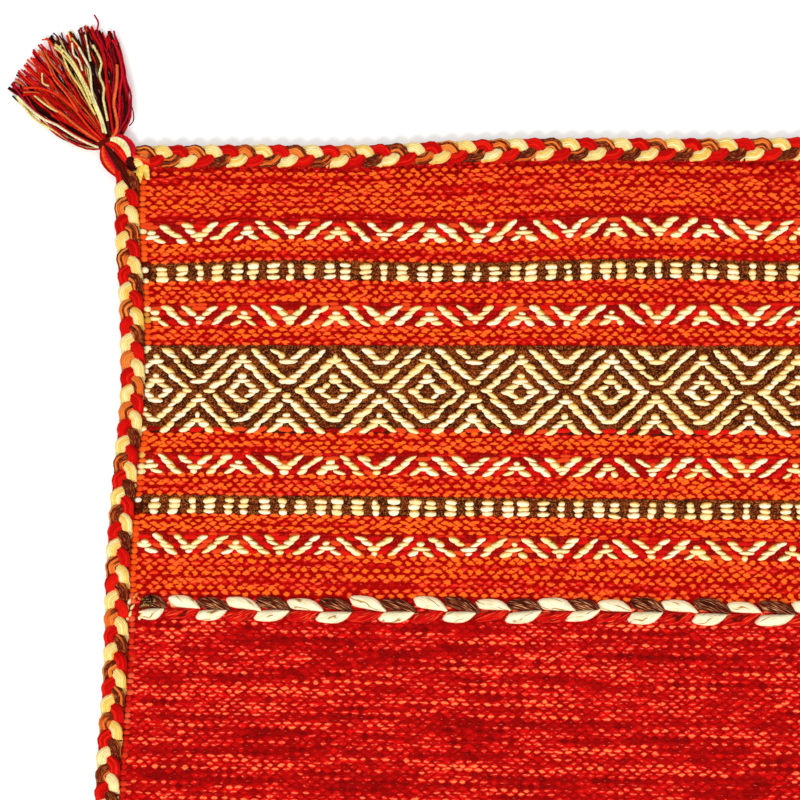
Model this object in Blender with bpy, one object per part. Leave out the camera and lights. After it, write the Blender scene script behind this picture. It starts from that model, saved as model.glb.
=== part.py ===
"""A small flat-woven kilim rug that lies flat on the floor.

The cloth is one flat sheet. A three-strand plait is sewn along each of its four edges, a twined
trim braid crosses it between each patterned border and the plain field, and a tassel hangs at
each corner on a short plaited neck with a bound tie.

Metres, +Z up. The origin is under the middle of the rug, on the floor. X runs along the weft,
from one selvedge to the other, and Y along the warp, from one end of the rug to the other.
"""

import math

import bmesh
import bpy
from mathutils import Matrix, Vector

# Cloth: warp count and pitch set the width, border and field set the length.
WARPS = 221
WARP_PITCH = 0.0026
BORDER_LENGTH = 0.2175
TRIM_WIDTH = 0.0115
FIELD_LENGTH = 0.420
CLOTH_THICKNESS = 0.003

# Plaits and braids.
EDGE_BRAID_WIDTH = 0.0105
EDGE_BRAID_HEIGHT = 0.0075
TRIM_BRAID_HEIGHT = 0.0036
TRIM_SIDE_INSET = 0.0015
SIDE_BRAID_INSET = 0.0009
END_BRAID_OVERHANG = 0.0015
TIP_LENGTH = 0.003

# Neighbouring pieces are sewn face to face, with this much air between their solids.
GAP = 0.0003

# The cloth and everything that follows its edges share these stations.
COLUMNS = 18
ROWS = 36

# Sideways drift of the warps: distance in from the rug's end, drift to one side. It turns over
# beyond the middle, so the rug is a slightly skewed rectangle.
WARP_DRIFT = (
    (0.000, 0.0086),
    (0.034, 0.0086),
    (0.114, 0.0092),
    (0.152, 0.0068),
    (0.192, 0.0052),
    (0.250, 0.0040),
    (0.310, 0.0027),
    (0.439, 0.0000),
)
# How far the pattern bands draw the selvedge in: distance from the rug's end, pull.
SELVEDGE_PULL = (
    (0.000, 0.0000),
    (0.030, 0.0002),
    (0.060, 0.0022),
    (0.095, 0.0034),
    (0.120, 0.0039),
    (0.157, 0.0033),
    (0.205, 0.0020),
    (0.255, 0.0025),
    (0.310, 0.0008),
    (0.439, 0.0008),
)
PULL_REACH = 0.070
# How the beaten end edge wanders: distance along the edge, step outwards.
END_WANDER = (
    (0.000, -0.0006),
    (0.060, -0.0008),
    (0.113, -0.0014),
    (0.155, 0.0001),
    (0.203, 0.0012),
    (0.303, 0.0002),
    (0.400, 0.0008),
    (0.480, -0.0005),
    (0.575, 0.0000),
)
WANDER_REACH = 0.060

# Tassel: stations along its axis, half width, height above the floor.
NECK_START = (-0.0046, 0.0017)
NECK_TURN = math.radians(38)
SKIRT_TURN = math.radians(-8)
NECK_STATIONS = (
    (0.0000, 0.0030, 0.0060),
    (0.0025, 0.0052, 0.0075),
    (0.0060, 0.0072, 0.0086),
    (0.0100, 0.0084, 0.0090),
    (0.0135, 0.0076, 0.0086),
    (0.0155, 0.0052, 0.0074),
)
TIE_STATIONS = (
    (0.0000, 0.0040, 0.0064),
    (0.0006, 0.0048, 0.0074),
    (0.0020, 0.0048, 0.0074),
    (0.0026, 0.0040, 0.0064),
)
SKIRT_STATIONS = (
    (0.0000, 0.0050, 0.0070),
    (0.0030, 0.0095, 0.0095),
    (0.0090, 0.0140, 0.0110),
    (0.0180, 0.0190, 0.0112),
    (0.0280, 0.0235, 0.0104),
    (0.0400, 0.0285, 0.0090),
    (0.0510, 0.0320, 0.0074),
    (0.0580, 0.0270, 0.0062),
    (0.0640, 0.0140, 0.0048),
)

# A plait's section: flat underneath, round on top. Shares of the half width and of the height.
SECTION = (
    (0.78, 0.00),
    (1.00, 0.30),
    (0.86, 0.70),
    (0.42, 1.00),
    (-0.42, 1.00),
    (-0.86, 0.70),
    (-1.00, 0.30),
    (-0.78, 0.00),
)
# How a plait's end narrows: share of the tip's length, share of the plait's full size.
TIP_TAPER = (
    (0.0, 0.55),
    (0.4, 0.85),
    (1.0, 1.00),
)

CLOTH_WIDTH = WARPS * WARP_PITCH
CLOTH_LENGTH = 2 * (BORDER_LENGTH + TRIM_WIDTH) + FIELD_LENGTH
HALF_WIDTH = CLOTH_WIDTH / 2
HALF_LENGTH = CLOTH_LENGTH / 2

COLOURS = {
    "orange_red_weft": (0.62, 0.045, 0.010),
    "plaited_yarn": (0.56, 0.13, 0.05),
    "twined_yarn": (0.54, 0.18, 0.09),
    "crimson_yarn": (0.45, 0.03, 0.02),
    "dark_binding": (0.06, 0.012, 0.008),
}
YARN_ROUGHNESS = 0.9


def clear_scene():
    for obj in list(bpy.data.objects):
        bpy.data.objects.remove(obj, do_unlink=True)


def yarn_material(name):
    material = bpy.data.materials.new(name)
    material.use_nodes = True
    shader = material.node_tree.nodes["Principled BSDF"]
    shader.inputs["Base Color"].default_value = (*COLOURS[name], 1.0)
    shader.inputs["Roughness"].default_value = YARN_ROUGHNESS
    shader.inputs["Metallic"].default_value = 0.0
    return material


def smooth_step(share):
    share = min(max(share, 0.0), 1.0)
    return share * share * (3.0 - 2.0 * share)


def smooth_value(table, at):
    """A curve through the table's rows, with each row's slope taken from its neighbours."""
    last = len(table) - 1
    row = 0
    while row < last - 1 and at > table[row + 1][0]:
        row += 1
    before, start, end, after = (table[min(max(row + k, 0), last)] for k in (-1, 0, 1, 2))
    step = end[0] - start[0]
    share = min(max((at - start[0]) / step, 0.0), 1.0)
    leave = step * (end[1] - before[1]) / (end[0] - before[0])
    arrive = step * (after[1] - start[1]) / (after[0] - start[0])
    rise = end[1] - start[1]
    bend = share * (1.0 - share) * ((1.0 - share) * (leave - rise) - share * (arrive - rise))
    return start[1] + share * rise + bend


def cloth_point(x, y):
    """Where the woven cloth lies, for a place on the true rectangle of the loom."""
    end = 1.0 if y >= 0 else -1.0
    side = 1.0 if x >= 0 else -1.0
    from_end = HALF_LENGTH - abs(y)
    from_side = HALF_WIDTH - abs(x)
    drift = end * smooth_value(WARP_DRIFT, from_end)
    pull = smooth_value(SELVEDGE_PULL, from_end) * smooth_step(1.0 - from_side / PULL_REACH)
    wander = smooth_value(END_WANDER, HALF_WIDTH + end * x)
    wander *= smooth_step(1.0 - from_end / WANDER_REACH)
    return Vector((x + drift - side * pull, y + end * wander, 0.0))


def add_object(name, mesh, material, parent=None):
    obj = bpy.data.objects.new(name, mesh)
    obj.data.materials.append(material)
    obj.parent = parent
    bpy.context.scene.collection.objects.link(obj)
    return obj


def lofted_mesh(name, rings):
    """A closed skin over rings of points, with a flat cap on the first and the last ring."""
    shape = bmesh.new()
    loops = [[shape.verts.new(point) for point in ring] for ring in rings]
    for near, far in zip(loops, loops[1:]):
        for i in range(len(near)):
            j = (i + 1) % len(near)
            shape.faces.new((near[i], near[j], far[j], far[i]))
    shape.faces.new(reversed(loops[0]))
    shape.faces.new(loops[-1])
    bmesh.ops.recalc_face_normals(shape, faces=shape.faces)
    mesh = bpy.data.meshes.new(name)
    shape.to_mesh(mesh)
    shape.free()
    mesh.shade_smooth()
    mesh.set_sharp_from_angle(angle=math.radians(50))
    return mesh


def section_ring(centre, across, half_width, height):
    """The plait's section set upright over a point of its path."""
    return [
        centre + across * (half_width * wide) + Vector((0.0, 0.0, height * high))
        for wide, high in SECTION
    ]


def plait_mesh(name, path, width, height, base):
    """A plait that follows a path in plan, lying at height base, with narrowed ends."""
    first, last = path[0], path[-1]
    start_run = (path[1] - first).normalized()
    end_run = (last - path[-2]).normalized()
    starts = [(first + start_run * (TIP_LENGTH * along), size) for along, size in TIP_TAPER]
    ends = [(last - end_run * (TIP_LENGTH * along), size) for along, size in reversed(TIP_TAPER)]
    points = starts + [(point, 1.0) for point in path[1:-1]] + ends
    rings = []
    for i, (point, size) in enumerate(points):
        before = points[max(i - 1, 0)][0]
        after = points[min(i + 1, len(points) - 1)][0]
        along = (after - before).normalized()
        across = Vector((along.y, -along.x, 0.0))
        foot = Vector((point.x, point.y, base))
        rings.append(section_ring(foot, across, 0.5 * width * size, height * size))
    return lofted_mesh(name, rings)


def offset_path(points, distance):
    """The path moved sideways by a distance, to the right of its own direction."""
    moved = []
    for i, point in enumerate(points):
        along = (points[min(i + 1, len(points) - 1)] - points[max(i - 1, 0)]).normalized()
        moved.append(point + Vector((along.y, -along.x, 0.0)) * distance)
    return moved


def grid_shares(count):
    return [i / count - 0.5 for i in range(count + 1)]


def make_cloth(material):
    shape = bmesh.new()
    bmesh.ops.create_grid(shape, x_segments=COLUMNS, y_segments=ROWS, size=0.5)
    for vertex in shape.verts:
        vertex.co = cloth_point(vertex.co.x * CLOTH_WIDTH, vertex.co.y * CLOTH_LENGTH)
    mesh = bpy.data.meshes.new("rug_cloth")
    shape.to_mesh(mesh)
    shape.free()
    cloth = add_object("rug_cloth", mesh, material)
    thickness = cloth.modifiers.new("cloth thickness", "SOLIDIFY")
    thickness.thickness = CLOTH_THICKNESS
    thickness.offset = 1.0


def make_side_braids(material):
    """The plaits down the two selvedges, each clear of the end plaits at the corners."""
    for name, side in (("side_braid_left", -1.0), ("side_braid_right", 1.0)):
        edge = [cloth_point(side * HALF_WIDTH, share * CLOTH_LENGTH) for share in grid_shares(ROWS)]
        path = offset_path(edge, side * (GAP + EDGE_BRAID_WIDTH / 2))
        for end, inwards in ((0, 1), (-1, -1)):
            path[end].y += inwards * SIDE_BRAID_INSET
        mesh = plait_mesh(name, path, EDGE_BRAID_WIDTH, EDGE_BRAID_HEIGHT, 0.0)
        add_object(name, mesh, material)


def make_end_braids(material):
    """The plaits along the two woven ends, a little longer than the cloth is wide."""
    for name, end in (("end_braid_near", -1.0), ("end_braid_far", 1.0)):
        edge = [cloth_point(share * CLOTH_WIDTH, end * HALF_LENGTH) for share in grid_shares(COLUMNS)]
        path = offset_path(edge, -end * (GAP + EDGE_BRAID_WIDTH / 2))
        path[0].x -= END_BRAID_OVERHANG
        path[-1].x += END_BRAID_OVERHANG
        mesh = plait_mesh(name, path, EDGE_BRAID_WIDTH, EDGE_BRAID_HEIGHT, 0.0)
        add_object(name, mesh, material)


def make_trim_braids(material):
    """The twined braids on top of the cloth, where each border meets the field."""
    line = HALF_LENGTH - BORDER_LENGTH - TRIM_WIDTH / 2
    run = CLOTH_WIDTH - 2 * TRIM_SIDE_INSET
    for name, end in (("trim_braid_near", -1.0), ("trim_braid_far", 1.0)):
        path = [cloth_point(share * run, end * line) for share in grid_shares(COLUMNS)]
        mesh = plait_mesh(name, path, TRIM_WIDTH, TRIM_BRAID_HEIGHT, CLOTH_THICKNESS + GAP)
        add_object(name, mesh, material)


def stations_mesh(name, stations):
    """A solid along +Y from rows of distance, half width and height, flat underneath."""
    across = Vector((1.0, 0.0, 0.0))
    rings = [
        section_ring(Vector((0.0, along, 0.0)), across, half_width, height)
        for along, half_width, height in stations
    ]
    return lofted_mesh(name, rings)


def add_holder(name, location, turn, parent=None):
    """An empty that carries a tassel or its skirt, turned about the vertical."""
    holder = bpy.data.objects.new(name, None)
    holder.matrix_basis = Matrix.Translation(location) @ Matrix.Rotation(turn, 4, "Z")
    holder.parent = parent
    bpy.context.scene.collection.objects.link(holder)
    return holder


def make_tassels(neck_material, tie_material, skirt_material):
    """A neck, a tie and a skirt at each corner, turned outwards and lying on the floor."""
    neck_mesh = stations_mesh("tassel_neck", NECK_STATIONS)
    tie_mesh = stations_mesh("tassel_tie", TIE_STATIONS)
    skirt_mesh = stations_mesh("tassel_skirt", SKIRT_STATIONS)
    tie_start = NECK_STATIONS[-1][0] + GAP
    # The skirt turns away from the neck's line, so its foot starts that much further out.
    turn_clearance = SKIRT_STATIONS[0][1] * math.sin(abs(SKIRT_TURN))
    skirt_start = tie_start + TIE_STATIONS[-1][0] + turn_clearance + GAP
    for end_name, end in (("far", 1.0), ("near", -1.0)):
        for side_name, side in (("left", -1.0), ("right", 1.0)):
            corner = f"{end_name}_{side_name}"
            # The numbers are those of the far left corner, and the others mirror it.
            mirror = -side * end
            start = cloth_point(side * HALF_WIDTH, end * HALF_LENGTH)
            start += Vector((-side * NECK_START[0], end * NECK_START[1], 0.0))
            half_turn = 0.0 if end > 0 else math.pi
            holder = add_holder(f"tassel_{corner}", start, half_turn + mirror * NECK_TURN)
            add_object(f"tassel_neck_{corner}", neck_mesh, neck_material, holder)
            tie = add_object(f"tassel_tie_{corner}", tie_mesh, tie_material, holder)
            tie.location.y = tie_start
            skirt_at = Vector((0.0, skirt_start, 0.0))
            turned = add_holder(f"skirt_turn_{corner}", skirt_at, mirror * SKIRT_TURN, holder)
            add_object(f"tassel_skirt_{corner}", skirt_mesh, skirt_material, turned)


def main():
    clear_scene()
    plaited = yarn_material("plaited_yarn")
    make_cloth(yarn_material("orange_red_weft"))
    make_side_braids(plaited)
    make_end_braids(plaited)
    make_trim_braids(yarn_material("twined_yarn"))
    make_tassels(plaited, yarn_material("dark_binding"), yarn_material("crimson_yarn"))


main()
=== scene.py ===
# %% [markdown]
# # A small kilim rug
#
# A kilim is a flat-woven wool rug: it has no pile, and the coloured weft yarns, which run from side
# to side, are its whole surface. This one is orange-red, with brocaded bands of cream, brown and red
# in a border at each end, a plain red field between them, a plait sewn round its edges, a twined
# braid where each border meets the field, and a tassel at each corner.
#
# This lesson builds it yarn by yarn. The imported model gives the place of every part, and the looks
# made here stand in for its plain solids.

import math
from functools import partial

import bmesh
import bpy
import numpy as np
from mathutils import Matrix, Vector


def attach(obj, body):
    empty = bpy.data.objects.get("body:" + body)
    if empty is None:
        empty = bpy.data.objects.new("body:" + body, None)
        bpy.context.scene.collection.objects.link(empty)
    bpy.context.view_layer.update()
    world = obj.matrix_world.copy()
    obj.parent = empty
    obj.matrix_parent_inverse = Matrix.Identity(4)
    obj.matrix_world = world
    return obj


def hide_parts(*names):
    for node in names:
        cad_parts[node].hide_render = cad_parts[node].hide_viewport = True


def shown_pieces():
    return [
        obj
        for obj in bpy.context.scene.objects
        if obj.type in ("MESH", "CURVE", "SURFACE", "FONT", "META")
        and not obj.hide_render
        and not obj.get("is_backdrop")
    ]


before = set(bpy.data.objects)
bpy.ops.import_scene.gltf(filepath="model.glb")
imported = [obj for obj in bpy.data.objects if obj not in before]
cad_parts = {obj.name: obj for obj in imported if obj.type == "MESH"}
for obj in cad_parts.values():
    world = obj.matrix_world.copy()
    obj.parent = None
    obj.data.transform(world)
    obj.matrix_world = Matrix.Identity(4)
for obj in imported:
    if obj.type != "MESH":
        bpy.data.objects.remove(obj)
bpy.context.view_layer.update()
MM = 0.001
print("parts of the rug:", len(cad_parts))

# %% [markdown]
# ## Colours and nodes
#
# Dyes are picked as they look on a screen, in sRGB hex. Shaders count light itself, so one function
# turns each into linear values. A second small function adds a node to a tree. It takes values in
# the order in which the node shows its inputs: a Map Range takes a value, the two ends that it comes
# from and the two that it goes to, and a noise takes a place, a scale, a detail and a roughness.

# %% Helpers for dyes and nodes
NOISE = (0.3, 0.7)  # a noise mostly stays between these
CARRIED = "GeometryNodeInputNamedAttribute"
STORED = "GeometryNodeStoreNamedAttribute"


def linear(hex_dye):
    """An sRGB hex colour as linear red, green, blue and alpha."""
    shares = [int(hex_dye[i:i + 2], 16) / 255 for i in (1, 3, 5)]
    return [s / 12.92 if s <= 0.04045 else ((s + 0.055) / 1.055) ** 2.4 for s in shares] + [1.0]


def fill(tree, socket, value):
    """Fills a socket with a plain value or a hex dye, or links it to a socket or to a node's first
    live output. None leaves it as it is."""
    if isinstance(value, bpy.types.Node):
        value = next(s for s in value.outputs if s.enabled)
    if isinstance(value, bpy.types.NodeSocket):
        tree.links.new(value, socket)
    elif value is not None:
        socket.default_value = linear(value) if socket.type == "RGBA" else value


def add(tree, kind, *values, dyes=(), **settings):
    """Adds a node, which is a shader node if its kind is short. Values fill its live inputs in
    order, or by name if they come in a dict. Dyes are a ramp's stops: rows of position and hex."""
    node = tree.nodes.new(kind if "Node" in kind else "ShaderNode" + kind)
    for setting, value in settings.items():
        setattr(node, setting, value)
    live = [socket for socket in node.inputs if socket.enabled]
    inputs = values[0] if values and isinstance(values[0], dict) else dict(enumerate(values))
    for key, value in inputs.items():
        fill(tree, live[key] if isinstance(key, int) else next(s for s in live if s.name == key), value)
    if dyes:
        stops = node.color_ramp.elements
        stops.remove(stops[-1])
        stops[0].position, stops[0].color = dyes[0][0], linear(dyes[0][1])
        for position, dye in dyes[1:]:
            stops.new(position).color = linear(dye)
    return node


def new_material(name):
    """A material, and the function that adds nodes to its tree."""
    material = bpy.data.materials.new(name)
    material.use_nodes = True
    return material, partial(add, material.node_tree)


def set_shader(material, inputs):
    """Fills inputs of a material's own shader, by name."""
    tree = material.node_tree
    for name, value in inputs.items():
        fill(tree, tree.nodes["Principled BSDF"].inputs[name], value)


# %% [markdown]
# ## Camera
#
# The photograph looks almost straight down on the rug's far left corner through a portrait lens.
# The bands and the braids only come out parallel if the camera stands a little to the right and
# towards the near end, so it leans 5.8 degrees sideways and 2.8 degrees along the rug.

# %% Camera
LENS_MM = 85.0
SENSOR_MM = 36.0
CAMERA_DISTANCE = 0.9475
CAMERA_TARGET = Vector((-0.1435, 0.3205, 0.0))
SIDE_LEAN = math.radians(5.8)
END_LEAN = math.radians(2.8)
ROLL = math.radians(0.25)

back = Vector((math.tan(SIDE_LEAN), -math.tan(END_LEAN), 1.0)).normalized()
level = (Vector((1.0, 0.0, 0.0)) - back * back.x).normalized()
right = math.cos(ROLL) * level + math.sin(ROLL) * back.cross(level)
up = back.cross(right)
camera_data = bpy.data.cameras.new("camera")
camera_data.lens = LENS_MM
camera_data.sensor_width = SENSOR_MM
camera_data.clip_start = 0.01
camera = bpy.data.objects.new("camera", camera_data)
bpy.context.scene.collection.objects.link(camera)
turned = Matrix((right, up, back)).transposed()
camera.matrix_world = Matrix.Translation(CAMERA_TARGET + back * CAMERA_DISTANCE) @ turned.to_4x4()
bpy.context.scene.camera = camera
print("camera stands", [round(c, 3) for c in camera.matrix_world.translation], "m")

# %% [markdown]
# ## Floor and light
#
# The rug lies on a pale, even floor. The light is soft and comes from all round, as in a studio
# with white walls, with one large softbox over the near end. It gives each yarn a bright near side
# and a thin shade on its far side, which is what makes the weave readable.

# %% Floor, studio walls and softboxes
FLOOR_SIZE = 12.0
WALL_LIGHT = 0.70
FLOOR_GLOW = 0.16  # the paper is lit from below as on a light table, so shadows on it stay faint


def softbox(name, place, aim, size, watts):
    light = bpy.data.lights.new(name, "AREA")
    light.shape = "SQUARE"
    light.size = size
    light.energy = watts
    lamp = bpy.data.objects.new(name, light)
    lamp.location = place
    lamp.rotation_euler = (Vector(aim) - Vector(place)).to_track_quat("-Z", "Y").to_euler()
    bpy.context.scene.collection.objects.link(lamp)


# Matt paper from a roll: an even white with no gloss and no edge in view.
floor_paper, _ = new_material("white studio paper")
set_shader(floor_paper, {
    "Base Color": "#F6F6F4", "Roughness": 0.8, "Emission Color": "#FFFFFF", "Emission Strength": FLOOR_GLOW,
})
floor_mesh = bpy.data.meshes.new("floor")
corners = [(x * FLOOR_SIZE / 2, y * FLOOR_SIZE / 2, 0) for x, y in ((-1, -1), (1, -1), (1, 1), (-1, 1))]
floor_mesh.from_pydata(corners, [], [(0, 1, 2, 3)])
floor_mesh.materials.append(floor_paper)
floor = bpy.data.objects.new("floor", floor_mesh)
bpy.context.scene.collection.objects.link(floor)
floor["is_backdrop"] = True

world = bpy.data.worlds.new("white studio walls")
world.use_nodes = True
walls = world.node_tree.nodes["Background"].inputs
walls["Color"].default_value = linear("#FFFFFF")
walls["Strength"].default_value = WALL_LIGHT
bpy.context.scene.world = world
softbox("key softbox", (-0.5, -1.7, 2.2), (0, 0.1, 0), 1.2, 48)
softbox("fill softbox", (1.4, 1.2, 2.4), (0, 0, 0), 1.6, 14)
bpy.context.scene.view_settings.view_transform = "Standard"

# %% [markdown]
# ## The lie of the cloth
#
# The loom holds the rug as a true rectangle, but off the loom it relaxes: the warps drift a little
# sideways, the brocaded bands draw the selvedges in, and the beaten end wanders. Everything woven is
# first laid out on the loom's rectangle, and then moved through one function to where the cloth
# lies. Its size, drift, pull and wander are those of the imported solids.

# %% The rug's size on the loom
WARPS = 221
WARP_PITCH = 2.6 * MM
BORDER_LENGTH = 217.5 * MM
TRIM_WIDTH = 11.5 * MM
FIELD_LENGTH = 420 * MM
HALF_WIDTH = WARPS * WARP_PITCH / 2
HALF_LENGTH = BORDER_LENGTH + TRIM_WIDTH + FIELD_LENGTH / 2

# %% How far it relaxes, all in metres
# Distance in from the rug's end, and how far the warps have drifted there.
WARP_DRIFT = (
    (0.000, 0.0086), (0.034, 0.0086), (0.114, 0.0092), (0.152, 0.0068), (0.192, 0.0052),
    (0.250, 0.0040), (0.310, 0.0027), (0.439, 0.0000),
)
# Distance in from the rug's end, and how far the selvedge is drawn in.
SELVEDGE_PULL = (
    (0.000, 0.0000), (0.030, 0.0002), (0.060, 0.0022), (0.095, 0.0034), (0.120, 0.0039),
    (0.157, 0.0033), (0.205, 0.0020), (0.255, 0.0025), (0.310, 0.0008), (0.439, 0.0008),
)
PULL_REACH = 0.070
# Distance along the end edge, and how far it steps outwards.
END_WANDER = (
    (0.000, -0.0006), (0.060, -0.0008), (0.113, -0.0014), (0.155, 0.0001), (0.203, 0.0012),
    (0.303, 0.0002), (0.400, 0.0008), (0.480, -0.0005), (0.575, 0.0000),
)
WANDER_REACH = 0.060
# The bands near the end rise and fall like a slow wave. Distance in from the rug's end, and how far
# the wave's crests reach towards that end.
BAND_RISE = (
    (0.000, 0.0000), (0.034, 0.0023), (0.055, 0.0015), (0.078, 0.0003), (0.100, 0.0000),
    (0.439, 0.0000),
)
BAND_WAVE = 0.175
BAND_CREST = -0.2075
BAND_FADE = 0.030
# The warps aren't quite evenly spaced. Distance along the end edge, and how far the weave is pushed
# along it there; then distance in from the rug's end, and how far the bands there are pushed.
WARP_CREEP = (
    (0.000, 0.0000), (0.029, 0.0012), (0.060, 0.0022), (0.121, 0.0026), (0.182, 0.0026),
    (0.212, 0.0018), (0.243, 0.0002), (0.274, -0.0013), (0.304, -0.0019), (0.340, -0.0019),
    (0.450, -0.0008), (0.575, 0.0000),
)
BAND_CREEP = (
    (0.000, 0.0008), (0.034, 0.0008), (0.055, 0.0003), (0.077, -0.0005), (0.117, -0.0012),
    (0.155, -0.0001), (0.175, 0.0003), (0.197, 0.0005), (0.250, 0.0000), (0.439, 0.0000),
)


# %% From the loom to the floor
def smooth_step(share):
    share = np.clip(share, 0.0, 1.0)
    return share * share * (3.0 - 2.0 * share)


def smooth_value(table, at):
    """A curve through the table's rows, with each row's slope taken from its neighbours."""
    table = np.array(table)
    last = len(table) - 1
    row = np.clip(np.searchsorted(table[:, 0], at) - 1, 0, last - 1)
    before, start, end, after = (table[np.clip(row + k, 0, last)] for k in (-1, 0, 1, 2))
    step = end[:, 0] - start[:, 0]
    share = np.clip((at - start[:, 0]) / step, 0.0, 1.0)
    rise = end[:, 1] - start[:, 1]
    leave = step * (end[:, 1] - before[:, 1]) / (end[:, 0] - before[:, 0])
    arrive = step * (after[:, 1] - start[:, 1]) / (after[:, 0] - start[:, 0])
    bend = share * (1.0 - share) * ((1.0 - share) * (leave - rise) - share * (arrive - rise))
    return start[:, 1] + share * rise + bend


def measured(places):
    """Columns x, y and z of places on the loom, the sign of each one's side and end, and how far it
    is from them."""
    x, y, z = places.T
    signs = np.where(x >= 0, 1.0, -1.0), np.where(y >= 0, 1.0, -1.0)
    return x, y, z, *signs, HALF_WIDTH - abs(x), HALF_LENGTH - abs(y)


def on_cloth(places):
    """Places on the loom's rectangle, moved to where the cloth lies. Heights stay."""
    x, y, z, side, end, from_side, from_end = measured(places)
    drift = end * smooth_value(WARP_DRIFT, from_end)
    pull = smooth_value(SELVEDGE_PULL, from_end) * smooth_step(1.0 - from_side / PULL_REACH)
    wander = smooth_value(END_WANDER, HALF_WIDTH + end * x)
    wander *= smooth_step(1.0 - from_end / WANDER_REACH)
    wave = 0.5 + 0.5 * np.cos(math.tau * (end * x - BAND_CREST) / BAND_WAVE)
    rise = smooth_value(BAND_RISE, from_end) * wave * smooth_step(from_side / BAND_FADE)
    return np.column_stack((x + drift - side * pull, y + end * (wander + rise), z))


def with_creep(places):
    """Places on the loom's rectangle, moved to where the unevenly spaced warps are."""
    x, y, z, side, end, from_side, from_end = measured(places)
    fades_out = smooth_step(1.0 - (from_end - BORDER_LENGTH) / PULL_REACH)
    creep = smooth_value(WARP_CREEP, HALF_WIDTH + end * x)
    creep += smooth_value(BAND_CREEP, from_end) * smooth_step(from_side / BAND_FADE)
    return np.column_stack((x + end * creep * fades_out, y, z))


def lay_on_cloth(mesh, woven=False):
    """Moves a mesh that was laid out on the loom's rectangle to where the cloth lies. What is woven
    follows the uneven warps too."""
    places = np.empty(len(mesh.vertices) * 3)
    mesh.vertices.foreach_get("co", places)
    places = places.reshape(-1, 3)
    if woven:
        places = with_creep(places)
    mesh.vertices.foreach_set("co", on_cloth(places).ravel())
    mesh.update()


corner = on_cloth(np.array([[-HALF_WIDTH, HALF_LENGTH, 0.0]]))[0]
print("cloth", round(2 * HALF_WIDTH, 4), "by", round(2 * HALF_LENGTH, 4), "m")
print("its far left corner is at", corner.round(4))

# %% [markdown]
# ## Growing yarns with Geometry Nodes
#
# A rug repeats one thing thousands of times: a short piece of yarn that rises out of the cloth,
# crosses one or more warps and dives again. A closed shape with a few faces serves for all of a
# kind, and a Geometry Nodes tree sets it on points. The points carry each yarn's size, turn and dye
# as attributes. The result is realized and kept as a plain mesh.

# %% Small closed shapes for pieces of yarn
def yarn_shape(name, points, faces, facts):
    """A closed piece of yarn with faces that point outward, and an attribute for each fact. The
    shading of its round top is kept apart from its flat underside, so its rim is not shaded as if it
    faced the floor."""
    mesh = bpy.data.meshes.new(name)
    mesh.from_pydata(points, [], faces)
    for fact, values in facts.items():
        mesh.attributes.new(fact, "FLOAT", "POINT").data.foreach_set("value", values)
    shape = bmesh.new()
    shape.from_mesh(mesh)
    bmesh.ops.recalc_face_normals(shape, faces=shape.faces)
    shape.normal_update()
    for face in shape.faces:
        if face.normal.z < -0.5:
            for edge in face.edges:
                edge.smooth = False
    shape.to_mesh(mesh)
    shape.free()
    return bpy.data.objects.new(name, mesh)


def ring_faces(rings, sides):
    """Faces of a shape whose points are one tip, rings of points, and the other tip."""
    faces = []
    last = 1 + rings * sides
    loops = [range(1 + k * sides, 1 + (k + 1) * sides) for k in range(rings)]
    for side in range(sides):
        after = (side + 1) % sides
        faces.append((0, loops[0][after], loops[0][side]))
        faces.append((last, loops[-1][side], loops[-1][after]))
        for here, there in zip(loops, loops[1:]):
            faces.append((here[side], here[after], there[after], there[side]))
    return faces


def spindle(name, rings, sides, sag=0.0, tip=0.0):
    """A yarn piece, one unit long, wide and high, flat underneath, with a ring of points at each of
    rings: place along it and size there. Sag moves its thick middle to the near side. Its crest
    value is 0 at the rim, where it dives into the cloth, tip at its two ends and 1 on the ridge. Its
    aside value runs from -0.5 on its near side to 0.5 on its far side."""
    points, crest, aside = [(-0.5, 0.0, 0.0)], [tip], [0.0]
    for along, size in rings:
        for side in range(sides):
            lean = math.pi * side / (sides - 1)
            points.append((along, size * (0.5 * math.cos(lean) - sag), size * math.sin(lean)))
            crest.append(size * math.sin(lean))
            aside.append(0.5 * size * math.cos(lean))
    points.append((0.5, 0.0, 0.0))
    facts = {"crest": crest + [tip], "aside": aside + [0.0]}
    return yarn_shape(name, points, ring_faces(len(rings), sides), facts)


def hipped(name):
    """The smallest closed crown, eight triangles: a short ridge over a diamond foot, so that crowns
    of a brick pattern close up, for the fine weave of the field."""
    points = [(-0.5, 0, 0), (0, -0.5, 0), (0.5, 0, 0), (0, 0.5, 0), (-0.24, -0.05, 1), (0.24, -0.05, 1)]
    faces = [(0, 3, 2, 1), (0, 1, 4), (1, 5, 4), (1, 2, 5), (2, 3, 5), (3, 4, 5), (3, 0, 4)]
    facts = {"crest": [point[2] for point in points], "aside": [point[1] for point in points]}
    return yarn_shape(name, points, faces, facts)


# %% Points that carry facts, and trees that grow them
FACTS = {1: ("FLOAT", "value"), 3: ("FLOAT_VECTOR", "vector"), 4: ("FLOAT_COLOR", "color")}


def points_with(name, places, edges=(), **facts):
    """A mesh of bare points, or of lines where it has edges, with an attribute for each fact."""
    mesh = bpy.data.meshes.new(name)
    mesh.from_pydata([tuple(place) for place in places], list(edges), [])
    for fact, values in facts.items():
        values = np.array(values, dtype=np.float32).reshape(len(places), -1)
        kind, field = FACTS[values.shape[1]]
        mesh.attributes.new(fact, kind, "POINT").data.foreach_set(field, values.ravel())
    return mesh


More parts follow.
